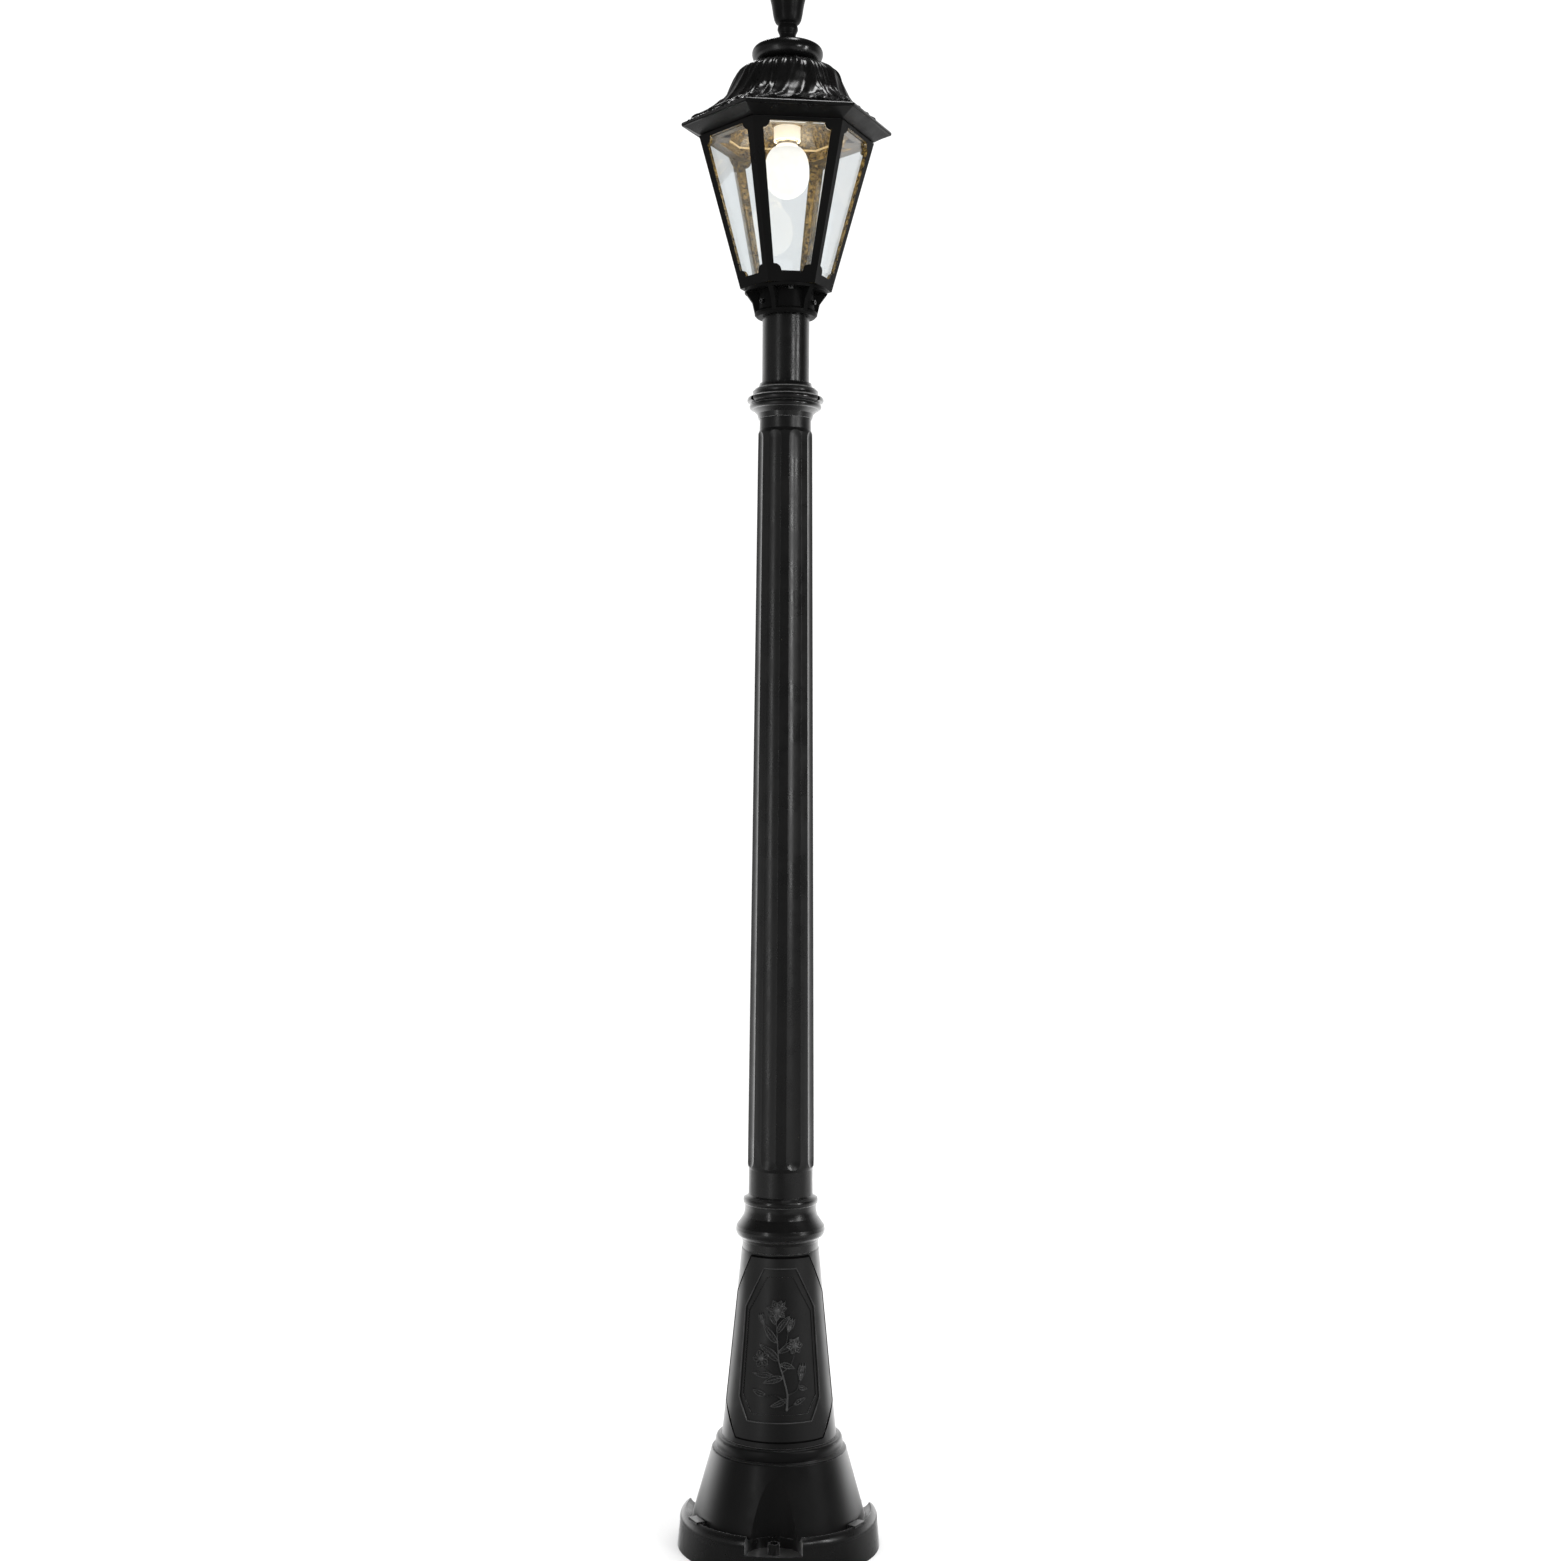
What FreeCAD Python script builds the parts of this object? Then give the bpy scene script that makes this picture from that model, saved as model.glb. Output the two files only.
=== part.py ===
import FreeCAD, Part
import math
import os

# Garden lamp post with a six-sided lantern.
# Lengths are in mm. The post's axis is Z, the ground is z = 0 and the front faces -Y.

# Play and overruns
fit_gap = 0.1        # between two pieces that are pressed or bolted together
seat_gap = 0.3       # between two pieces that slip into each other
cut_over = 2.0       # how far a cutter runs past what it cuts
join_tol = 0.001     # points nearer than this are one point

# Foot
foot_r = 129.0
foot_side_r = 126.0
foot_side_h = 33.0
ridge_r = 118.5
ridge_z = 45.5
gutter_r = 112.5
deck_z = 38.0
deck_t = 8.0
foot_wall = 7.0
hub_r = 42.0
hub_bore_r = 34.0
pad_w = 24.0
pad_l = 11.0
pad_h = 9.0
foot_yaw = -3.0      # degrees
notch_count = 3

# Anchor notches and bushes
niche_r = 36.0
niche_centre_r = 126.0
notch_floor_z = 25.0
notch_floor_t = 8.0
anchor_circle_r = 113.0
anchor_boss_r = 15.0
bush_r = 7.3
bush_wall = 1.8
bush_h = 38.0

# Skirt and step ring
skirt_foot_r = 110.0
skirt_top_r = 86.5
skirt_h = 84.0
skirt_wall = 5.0
step_r = 80.5
step_h = 19.0
step_deck_t = 7.0
spigot_t = 3.0
spigot_h = 6.0

# Pedestal
pedestal_foot_r = 73.0
pedestal_top_r = 49.3
pedestal_h = 237.0
pedestal_wall = 4.0
pedestal_deck_t = 6.0
panel_proud = 2.2
panel_recess = 2.0
panel_groove = 1.2

# Lower collar
lower_collar_r = 57.0
lower_collar_h = 69.0
collar_spigot_r = 36.0

# Shaft
shaft_foot_r = 41.0
shaft_top_r = 32.7
shaft_h = 990.0
shaft_foot_bore_r = 33.0
shaft_top_bore_r = 30.4
land_proud = 1.9
land_ramp_h = 5.0
flute_count = 8
flute_foot_h = 37.0
flute_top_h = 19.0
flute_half_angle = 13.5   # degrees
flute_depth_share = 0.068

# Upper collar
upper_collar_r = 48.9
upper_collar_h = 45.0

# Steel tube and its foot plate
tube_r = 30.0
tube_wall = 3.0
neck_h = 85.0
flange_r = 74.0
flange_t = 8.0
flange_screw_circle_r = 56.0
flange_screw_r = 4.0
flange_screw_count = 3

# Lantern fitter
fitter_h = 35.0
fitter_rim_r = 40.0
fitter_rim_h = 8.0
fitter_drum_r = 36.8
fitter_web_t = 5.0
fitter_rib_t = 6.0
fitter_flange_r = 53.0
fitter_flange_t = 4.0
grommet_r = 26.0
grommet_wall = 3.0
grommet_lip_r = 29.0
grommet_lip_t = 2.0

# Grub screws in the fitter and the upper collar
grub_r = 3.0
grub_l = 10.0
grub_count = 3

# Lantern cage
lantern_yaw = 7.5    # degrees
face_count = 6
frame_foot_r = 59.0
frame_top_r = 113.0
frame_h = 193.0
frame_wall = 4.0
frame_floor_t = 5.0
frame_floor_hole_r = 40.0
frame_flange_t = 4.0
frame_flange_w = 14.0
lug_l = 24.0
lug_w = 24.0
window_foot_h = 12.5
window_head_h = 4.5
bar_foot_w = 9.0
bar_top_w = 12.5
window_corner_r = 9.0
frame_screw_circle_r = 45.0
frame_screw_r = 2.0

# Panes, floor plate and terminal block
pane_t = 2.5
pane_corner_gap = 2.0
pane_end_gap = 0.5
floor_t = 4.0
floor_rim_h = 6.0
block_l = 32.0
block_w = 12.0
block_h = 14.0
block_y = 35.5
block_screw_r = 2.2
block_ways = 3

# Roof
seal_t = 1.5
roof_seat_w = 11.0
brim_r = 135.6
brim_drop_h = 11.5
brim_edge_h = 3.0
brim_slope_h = 29.0
brim_slope_r = 86.0
dome_foot_r = 92.0
dome_foot_z = 26.0
dome_h = 56.2
roof_wall = 3.5

# Cap, finial and washer
cap_r = 44.5
cap_h = 28.0
washer_r = 10.8
washer_t = 2.0
finial_r = 24.0
finial_h = 98.0
insert_r = 7.0
insert_h = 26.0

# Bracket and stud
strap_w = 20.0
strap_t = 2.5
strap_rise = 48.0
strap_foot_l = 16.0
strap_top_half = 45.0
strap_side_gap = 1.0
strap_screw_r = 2.2
stud_r = 5.0
stud_bore_r = 3.4
stud_below = 14.0
nut_r = 9.0
nut_t = 5.0

# Lamp holder
holder_r = 17.0
holder_h = 22.0
holder_wall = 2.0
holder_ring_r = 19.6
holder_ring_h = 5.0
holder_cap_h = 14.0
shell_r = 14.2
shell_wall = 0.5
shell_h = 19.0
contact_w = 8.0
contact_t = 0.8

# Bulb
bulb_r = 28.5
bulb_l = 91.0
bulb_cap_r = 13.2
bulb_cap_h = 18.0
bulb_insulator_h = 2.6
bulb_contact_r = 4.6
bulb_contact_h = 1.6

# Outlines as shares of a piece's radius and height, bottom first.
# A point with four numbers is an arc through the first pair to the second.
step_ring_shares = [(1.07, 0.07, 1.045, 0.13), (1.0, 0.2), (1.012, 0.5, 1.0, 0.8),
                    (0.985, 0.9, 0.95, 0.95), (0.925, 1.0)]
lower_collar_shares = [(0.85, 0.0), (0.85, 0.14), (0.885, 0.2), (0.955, 0.25), (0.99, 0.3, 1.0, 0.36),
                       (0.985, 0.42), (0.9, 0.52), (0.835, 0.6), (0.803, 0.7, 0.8, 0.82), (0.825, 0.84),
                       (0.837, 0.885, 0.825, 0.93), (0.78, 0.95), (0.74, 0.97), (0.72, 1.0)]
upper_collar_shares = [(0.7, 0.0), (0.735, 0.14), (0.86, 0.26), (0.94, 0.35, 0.88, 0.43),
                       (0.985, 0.48), (1.0, 0.53, 0.97, 0.6), (0.89, 0.64), (0.85, 0.7, 0.86, 0.77),
                       (0.8, 0.84), (0.71, 0.9, 0.68, 1.0)]
dome_shares = [(1.0, 0.0), (0.9, 0.08), (0.82, 0.295), (0.755, 0.56), (0.695, 0.745), (0.635, 0.85),
               (0.55, 0.925), (0.44, 1.0)]
cap_shares = [(0.72, 0.0), (0.85, 0.04), (0.94, 0.14), (0.985, 0.28), (1.0, 0.45), (0.955, 0.66),
              (0.84, 0.83), (0.54, 0.96), (0.24, 1.0)]
finial_shares = [(0.4, 0.0), (0.4, 0.085), (0.515, 0.165, 0.47, 0.215), (0.6, 0.245), (0.67, 0.288),
                 (0.73, 0.353), (0.765, 0.418), (0.815, 0.484), (0.89, 0.549), (0.98, 0.62),
                 (1.02, 0.65, 0.97, 0.68), (0.82, 0.69), (0.76, 0.74, 0.52, 0.85), (0.3, 0.93),
                 (0.22, 0.965), (0.1, 0.99), (0.0, 1.0)]
bulb_shares = [(0.0, 0.0), (0.72, 0.105, 1.0, 0.36), (0.99, 0.46, 0.93, 0.56), (0.8, 0.65, 0.63, 0.71),
               (0.53, 0.73), (0.463, 0.75)]
# Panel outlines: share of the half angle of a quarter turn, share of the pedestal's height
panel_outer_shares = [(0.53, 0.035), (0.81, 0.2), (0.79, 0.78), (0.5, 0.985)]
panel_inner_shares = [(0.38, 0.135), (0.52, 0.25), (0.53, 0.72), (0.25, 0.93)]
panel_field_shares = [(0.33, 0.175), (0.46, 0.265), (0.46, 0.7), (0.19, 0.885)]

# Heights and sizes that follow from the above
step_z = deck_z + skirt_h
pedestal_z = step_z + step_h
lower_collar_z = pedestal_z + pedestal_h
shaft_z = lower_collar_z + lower_collar_h
upper_collar_z = shaft_z + shaft_h
neck_z = upper_collar_z + upper_collar_h
fitter_z = neck_z + neck_h
frame_z = fitter_z + fitter_h
tube_top_z = frame_z - fitter_web_t - seat_gap
frame_top_z = frame_z + frame_h
window_top_h = frame_h - window_head_h
roof_z = frame_top_z + seal_t
brim_z = roof_z + brim_drop_h
roof_top_z = roof_z + dome_foot_z + dome_h + brim_drop_h
cap_z = roof_top_z
washer_z = cap_z + cap_h
finial_z = washer_z + washer_t
strap_z = frame_top_z + strap_rise
holder_top_z = strap_z - stud_below
bush_bore_r = bush_r - bush_wall
hex_share = math.cos(math.pi / face_count)
mouth_r = frame_top_r - roof_seat_w / hex_share
strap_reach_r = mouth_r - strap_w / 2 / math.tan(2 * math.pi / face_count) - strap_side_gap
frame_lean = math.atan((frame_top_r - frame_foot_r) * hex_share / frame_h)


def vec(x, y, z):
    return FreeCAD.Vector(x, y, z)


UP = vec(0, 0, 1)
ORIGIN = vec(0, 0, 0)


def turned(shape, degrees):
    copy = shape.copy()
    copy.rotate(ORIGIN, UP, degrees)
    return copy


def around(shape, count, first=0.0):
    return [turned(shape, first + i * 360.0 / count) for i in range(count)]


def rod(radius, height, z=0.0, x=0.0, y=0.0):
    return Part.makeCylinder(radius, height, vec(x, y, z))


def ring(outer_r, inner_r, height, z):
    return rod(outer_r, height, z).cut(rod(inner_r, height, z))


def block(width, depth, height, x, y, z):
    return Part.makeBox(width, depth, height, vec(x - width / 2, y - depth / 2, z))


def outline_edges(points):
    """Edges in the XZ plane through (r, z) points; four numbers are an arc via the first pair."""
    edges = []
    last = vec(points[0][0], 0, points[0][1])
    for point in points[1:]:
        end = vec(point[-2], 0, point[-1])
        if len(point) == 4:
            edges.append(Part.Arc(last, vec(point[0], 0, point[1]), end).toShape())
        elif not last.isEqual(end, join_tol):
            edges.append(Part.LineSegment(last, end).toShape())
        last = end
    return edges


def lathe(points):
    """Solid of revolution about Z from a closed outline of (r, z) points."""
    wire = Part.Wire(outline_edges(list(points) + [points[0]]))
    return Part.Face(wire).revolve(ORIGIN, UP, 360)


def scaled(shares, radius, height, z):
    """Outline points from shares of a radius and a height that starts at z."""
    points = []
    for share in shares:
        sized = []
        for i in range(0, len(share), 2):
            sized += [share[i] * radius, z + share[i + 1] * height]
        points.append(tuple(sized))
    return points


def hexagon(corner_r, z):
    """Closed six-sided wire with a side towards -Y and corners on the X axis."""
    corners = []
    for i in range(face_count):
        angle = 2 * math.pi * i / face_count
        corners.append(vec(corner_r * math.cos(angle), corner_r * math.sin(angle), z))
    return Part.makePolygon(corners + [corners[0]])


def hex_loft(foot_corner_r, top_corner_r, z, height):
    return Part.makeLoft([hexagon(foot_corner_r, z), hexagon(top_corner_r, z + height)], True, True)


def tapered_capsule(start, end, start_r, end_r):
    """Cone with tangent round ends, between two centres."""
    axis = end.sub(start)
    length = axis.Length
    lean = math.asin((start_r - end_r) / length)
    low = (start_r * math.cos(lean), start_r * math.sin(lean))
    high = (end_r * math.cos(lean), length + end_r * math.sin(lean))
    half = math.pi / 4 - lean / 2
    low_mid_angle = (lean - math.pi / 2) / 2
    low_mid = (start_r * math.cos(low_mid_angle), start_r * math.sin(low_mid_angle))
    high_mid = (end_r * math.cos(lean + half), length + end_r * math.sin(lean + half))
    points = [(0, -start_r), low_mid + low, high, high_mid + (0, length + end_r)]
    solid = lathe(points)
    solid.Placement = FreeCAD.Placement(start, FreeCAD.Rotation(UP, axis))
    return solid


def radial_rod(radius, inner_r, length, z, degrees):
    """Rod that lies along a radius of the post, at an angle from -Y."""
    solid = Part.makeCylinder(radius, length, vec(0, -inner_r, z), vec(0, -1, 0))
    return turned(solid, degrees)


# Foot


def niche(radius, z, height):
    return rod(radius, height, z, 0, -niche_centre_r)


def make_foot_flange():
    top_mid = ((foot_side_r + ridge_r) / 2 + foot_wall / 4, (foot_side_h + ridge_z) / 2 + foot_wall / 3)
    outline = [(hub_bore_r, 0), (foot_r, 0), (foot_side_r, foot_side_h), top_mid + (ridge_r, ridge_z),
               (gutter_r + (ridge_r - gutter_r) / 3, deck_z + (ridge_z - deck_z) / 3,
                skirt_foot_r + seat_gap, deck_z), (hub_bore_r, deck_z)]
    body = lathe(outline)
    envelope = body.copy()
    cavity = ring(foot_side_r - foot_wall, hub_r, deck_z - deck_t, 0)
    body = body.cut(cavity)
    walls = around(niche(niche_r + foot_wall, 0, deck_z).common(envelope), notch_count)
    spaces = around(niche(niche_r, notch_floor_z, ridge_z), notch_count)
    core = niche(niche_r, 0, notch_floor_z - notch_floor_t).common(rod(foot_side_r - foot_wall, deck_z))
    core = core.cut(rod(anchor_boss_r, deck_z, 0, 0, -anchor_circle_r))
    bores = around(rod(bush_r + fit_gap, deck_z, 0, 0, -anchor_circle_r), notch_count)
    pad = block(pad_w, pad_l, pad_h + deck_t / 2, 0, skirt_foot_r + seat_gap + pad_l / 2,
                deck_z - deck_t / 2)
    rib = block(foot_wall, foot_side_r - foot_wall - hub_r + foot_wall, deck_z - deck_t / 2, 0,
                (foot_side_r - foot_wall + hub_r) / 2, 0)
    body = body.fuse(walls + around(pad, notch_count) + around(rib, notch_count))
    body = body.cut(spaces + around(core, notch_count) + bores)
    screw_hole = rod(flange_screw_r, deck_t + cut_over, deck_z - deck_t - cut_over / 2, 0,
                     flange_screw_circle_r)
    body = body.cut(around(screw_hole, flange_screw_count, 180.0 / flange_screw_count))
    return turned(body.removeSplitter(), foot_yaw)


def make_anchor_bushes():
    bush = rod(bush_r, bush_h, 0, 0, -anchor_circle_r)
    bush = bush.cut(rod(bush_bore_r, bush_h, 0, 0, -anchor_circle_r))
    return Part.makeCompound(around(bush, notch_count, foot_yaw))


# Skirt and pedestal


def make_base_skirt():
    step = scaled(step_ring_shares, step_r, step_h, step_z)
    spigot_r = pedestal_foot_r - pedestal_wall - cut_over
    outer = lathe([(0, deck_z), (skirt_foot_r, deck_z), (skirt_top_r, step_z)] + step +
                  [(spigot_r, pedestal_z), (spigot_r, pedestal_z + spigot_h), (0, pedestal_z + spigot_h)])
    inner_top_r = step_r - skirt_wall
    inner = lathe([(0, deck_z), (skirt_foot_r - skirt_wall, deck_z), (skirt_top_r - skirt_wall, step_z),
                   (inner_top_r, step_z), (inner_top_r, pedestal_z - step_deck_t),
                   (0, pedestal_z - step_deck_t)])
    niche_walls = around(niche(niche_r + skirt_wall, deck_z, step_h + skirt_h), notch_count, foot_yaw)
    niche_cuts = around(niche(niche_r, deck_z - cut_over, step_h + skirt_h), notch_count, foot_yaw)
    inner = inner.cut(niche_walls)
    body = outer.cut(inner).cut(niche_cuts)
    body = body.cut(rod(spigot_r - spigot_t, spigot_h + cut_over, pedestal_z))
    return body.cut(rod(hub_r, pedestal_z + cut_over, deck_z))


def pedestal_radius(height_share):
    return pedestal_foot_r + (pedestal_top_r - pedestal_foot_r) * height_share


def panel_cutter(shares):
    """Prism with the panel's outline as seen from the front, long enough to reach the surface."""
    side = []
    for angle_share, height_share in shares:
        radius = pedestal_radius(height_share) + panel_proud
        half = radius * math.sin(angle_share * math.pi / 2)
        side.append((half, pedestal_z + height_share * pedestal_h))
    points = [vec(x, 0, z) for x, z in side] + [vec(-x, 0, z) for x, z in reversed(side)]
    face = Part.Face(Part.makePolygon(points + [points[0]]))
    return face.extrude(vec(0, -pedestal_foot_r - cut_over - panel_proud, 0))


def cone_layer(offset):
    """The pedestal's cone, offset along its radius."""
    return lathe([(0, pedestal_z), (pedestal_foot_r + offset, pedestal_z),
                  (pedestal_top_r + offset, lower_collar_z), (0, lower_collar_z)])


def make_pedestal_shell():
    proud = cone_layer(panel_proud)
    plain = cone_layer(0)
    deep = cone_layer(panel_proud - panel_recess)
    pad = panel_cutter(panel_outer_shares).common(proud)
    groove = panel_cutter(panel_inner_shares).common(proud)
    groove = groove.cut(cone_layer(panel_proud - panel_groove))
    field = panel_cutter(panel_field_shares).common(proud).cut(deep)
    body = plain.fuse(around(pad, 2)).cut(around(groove, 2)).cut(around(field, 2))
    inner = lathe([(0, pedestal_z), (pedestal_foot_r - pedestal_wall, pedestal_z),
                   (pedestal_top_r - pedestal_wall, lower_collar_z - pedestal_deck_t),
                   (0, lower_collar_z - pedestal_deck_t)])
    body = body.cut(inner)
    return body.cut(rod(collar_spigot_r + seat_gap, pedestal_deck_t + cut_over,
                        lower_collar_z - pedestal_deck_t - cut_over / 2)).removeSplitter()


# Collars and shaft


def make_lower_collar():
    outer = scaled(lower_collar_shares, lower_collar_r, lower_collar_h, lower_collar_z)
    bore_r = collar_spigot_r - spigot_t
    points = [(bore_r, lower_collar_z - spigot_h), (collar_spigot_r, lower_collar_z - spigot_h),
              (collar_spigot_r, lower_collar_z)] + outer
    points += [(collar_spigot_r, shaft_z), (collar_spigot_r, shaft_z + spigot_h),
               (bore_r, shaft_z + spigot_h)]
    return lathe(points)


def shaft_radius(height, proud):
    return shaft_foot_r + (shaft_top_r - shaft_foot_r) * height / shaft_h + proud


def flute_cutter():
    """Round-ended tapered channel on the front of the shaft."""
    ends = []
    half = math.radians(flute_half_angle)
    for height in (flute_foot_h, shaft_h - flute_top_h):
        radius = shaft_radius(height, land_proud)
        floor_r = radius * (1 - flute_depth_share)
        rise = radius * math.cos(half)
        centre_r = (radius * radius - floor_r * floor_r) / (2 * (rise - floor_r))
        ends.append((centre_r, centre_r - floor_r, radius * math.sin(half), height))
    low, high = ends
    start = vec(0, -low[0], shaft_z + low[3] + low[2])
    end = vec(0, -high[0], shaft_z + high[3] - high[2])
    return tapered_capsule(start, end, low[1], high[1])


def make_fluted_shaft():
    low = flute_foot_h - land_ramp_h
    high = shaft_h - flute_top_h + land_ramp_h
    seat_h = spigot_h + cut_over
    points = [(shaft_radius(0, 0), 0), (shaft_radius(low, 0), low),
              (shaft_radius(flute_foot_h, land_proud), flute_foot_h),
              (shaft_radius(shaft_h - flute_top_h, land_proud), shaft_h - flute_top_h),
              (shaft_radius(high, 0), high), (shaft_radius(shaft_h, 0), shaft_h),
              (shaft_top_bore_r, shaft_h), (shaft_foot_bore_r, seat_h),
              (collar_spigot_r + seat_gap, seat_h), (collar_spigot_r + seat_gap, 0)]
    body = lathe([(r, shaft_z + h) for r, h in points])
    pitch = 360.0 / flute_count
    return body.cut(around(flute_cutter(), flute_count, pitch / 2))


def make_upper_collar():
    outer = scaled(upper_collar_shares, upper_collar_r, upper_collar_h, upper_collar_z)
    bore_r = tube_r + seat_gap
    body = lathe([(bore_r, upper_collar_z)] + outer + [(bore_r, neck_z)])
    return body.cut(grub_holes(upper_collar_r, collar_screw_z()))


def collar_screw_z():
    return upper_collar_z + upper_collar_h * 0.52


def grub_holes(length, z):
    return around(radial_rod(grub_r + fit_gap, tube_r - cut_over, length, z, 180.0), grub_count)


def grub_screws(z):
    """Socket grub screws whose tips stand just off the tube."""
    screw = radial_rod(grub_r, tube_r + seat_gap, grub_l, z, 180.0)
    socket = radial_rod(grub_r / 2, tube_r + seat_gap + grub_l / 2, grub_l, z, 180.0)
    return Part.makeCompound(around(screw.cut(socket), grub_count))


def make_collar_screws():
    return grub_screws(collar_screw_z())


# Steel tube


def make_inner_tube():
    return ring(tube_r, tube_r - tube_wall, tube_top_z - deck_z, deck_z)


def make_tube_flange():
    body = ring(flange_r, tube_r + fit_gap, flange_t, deck_z)
    hole = rod(flange_screw_r + fit_gap, flange_t, deck_z, 0, flange_screw_circle_r)
    return body.cut(around(hole, flange_screw_count, foot_yaw + 180.0 / flange_screw_count))


def make_flange_screws():
    shank = rod(flange_screw_r - fit_gap, deck_t + flange_t, deck_z - deck_t, 0, flange_screw_circle_r)
    head = rod(flange_screw_r * 1.6, flange_screw_r * 1.6, deck_z + flange_t, 0, flange_screw_circle_r)
    socket = rod(flange_screw_r * 0.8, flange_screw_r * 0.8, deck_z + flange_t + flange_screw_r * 0.8, 0,
                 flange_screw_circle_r)
    screw = shank.fuse(head).cut(socket).removeSplitter()
    return Part.makeCompound(around(screw, flange_screw_count, foot_yaw + 180.0 / flange_screw_count))


# Lantern fitter


def make_fitter_collar():
    bore_r = tube_r + seat_gap
    hole_r = grommet_r
    drum_top_z = frame_z - fitter_flange_t
    outline = [(bore_r, fitter_z), (fitter_rim_r - fitter_rim_h / 3, fitter_z),
               (fitter_rim_r, fitter_z + fitter_rim_h / 3), (fitter_rim_r, fitter_z + fitter_rim_h * 0.7),
               (fitter_drum_r, fitter_z + fitter_rim_h), (fitter_drum_r, drum_top_z),
               (fitter_flange_r, drum_top_z), (fitter_flange_r, frame_z), (hole_r, frame_z),
               (hole_r, tube_top_z + seat_gap), (bore_r, tube_top_z + seat_gap)]
    body = lathe(outline)
    rib_points = [vec(bore_r + cut_over, 0, fitter_z + fitter_rim_h * 0.5),
                  vec(fitter_rim_r, 0, fitter_z + fitter_rim_h * 0.5),
                  vec(fitter_rim_r + fitter_rim_h * 0.4, 0, fitter_z + fitter_h * 0.5),
                  vec(fitter_flange_r, 0, drum_top_z), vec(bore_r + cut_over, 0, drum_top_z)]
    rib = Part.Face(Part.makePolygon(rib_points + [rib_points[0]])).extrude(vec(0, fitter_rib_t, 0))
    rib.translate(vec(0, -fitter_rib_t / 2, 0))
    body = body.fuse(around(rib, face_count))
    body = body.cut(grub_holes(fitter_flange_r, fitter_screw_z()))
    body = body.cut(around(frame_screw_hole(), grub_count))
    return turned(body.removeSplitter(), lantern_yaw)


def fitter_screw_z():
    return fitter_z + fitter_h * 0.48


def frame_screw_hole():
    return rod(frame_screw_r, frame_floor_t + fitter_flange_t, frame_z - fitter_flange_t, 0,
               -frame_screw_circle_r)


def make_fitter_screws():
    return turned(grub_screws(fitter_screw_z()), lantern_yaw)


def make_frame_screws():
    shank = rod(frame_screw_r - fit_gap, frame_floor_t + fitter_flange_t, frame_z - fitter_flange_t, 0,
                -frame_screw_circle_r)
    head = rod(frame_screw_r * 1.8, frame_screw_r * 1.2, frame_z - fitter_flange_t - frame_screw_r * 1.2, 0,
               -frame_screw_circle_r)
    screws = around(shank.fuse(head).removeSplitter(), grub_count)
    return turned(Part.makeCompound(screws), lantern_yaw)


def make_tube_grommet():
    web_z = tube_top_z + seat_gap
    bore_r = grommet_r - grommet_wall
    lip_top_z = frame_z + grommet_lip_t
    return lathe([(bore_r, web_z), (grommet_r - fit_gap, web_z), (grommet_r - fit_gap, frame_z),
                  (grommet_lip_r, frame_z), (grommet_lip_r, lip_top_z), (bore_r, lip_top_z)])


# Lantern cage


def frame_radius(height):
    return frame_foot_r + (frame_top_r - frame_foot_r) * height / frame_h


def layer_radius(height, depth):
    """Corner radius of the cage's face planes, moved inwards by a depth square to the face."""
    return frame_radius(height) - depth / math.cos(frame_lean) / hex_share


def frame_layer(depth, low, high):
    return hex_loft(layer_radius(low, depth), layer_radius(high, depth), frame_z + low, high - low)


def face_prism(low, high, low_margin, high_margin):
    """Prism over one face, from the axis outwards, that stops a margin short of the corners."""
    low_half = frame_radius(low) / 2 - low_margin
    high_half = frame_radius(high) / 2 - high_margin
    points = [vec(-low_half, 0, frame_z + low), vec(low_half, 0, frame_z + low),
              vec(high_half, 0, frame_z + high), vec(-high_half, 0, frame_z + high)]
    return Part.Face(Part.makePolygon(points + [points[0]])).extrude(vec(0, -frame_top_r, 0))


def window_cutter():
    prism = face_prism(window_foot_h, window_top_h, bar_foot_w, bar_top_w)
    for height, margin in ((window_foot_h, bar_foot_w), (window_top_h, bar_top_w)):
        half = frame_radius(height) / 2 - margin
        for side in (-1, 1):
            knob = Part.makeCylinder(window_corner_r, frame_top_r, vec(side * half, 0, frame_z + height),
                                     vec(0, -1, 0))
            prism = prism.cut(knob)
    return prism


def make_lantern_frame():
    flange_low = frame_h - frame_flange_t
    body = frame_layer(0, 0, frame_h)
    body = body.cut(frame_layer(frame_wall, frame_floor_t, flange_low))
    opening_r = frame_top_r - (frame_wall + frame_flange_w) / hex_share
    body = body.cut(hex_loft(opening_r, opening_r, frame_z + flange_low, frame_flange_t))
    lug = block(lug_l, lug_w, frame_flange_t, strap_reach_r - lug_l / 2 + spigot_t, 0, frame_z + flange_low)
    body = body.fuse(around(lug, 2)).common(frame_layer(0, 0, frame_h))
    body = body.cut(rod(frame_floor_hole_r, frame_floor_t, frame_z))
    body = body.cut(around(window_cutter(), face_count))
    body = body.cut(around(frame_screw_hole(), grub_count))
    body = body.cut(around(strap_screw_hole(frame_flange_t, flange_low + frame_z), 2))
    return turned(body.removeSplitter(), lantern_yaw)


def make_pane():
    low = frame_floor_t + floor_t + fit_gap
    high = frame_h - frame_flange_t - pane_end_gap
    layer = frame_layer(frame_wall, low, high).cut(frame_layer(frame_wall + pane_t, low, high))
    margin = frame_wall + pane_corner_gap
    return layer.common(face_prism(low, high, margin, margin))


def make_panes():
    return [turned(pane, lantern_yaw) for pane in around(make_pane(), face_count)]


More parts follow.
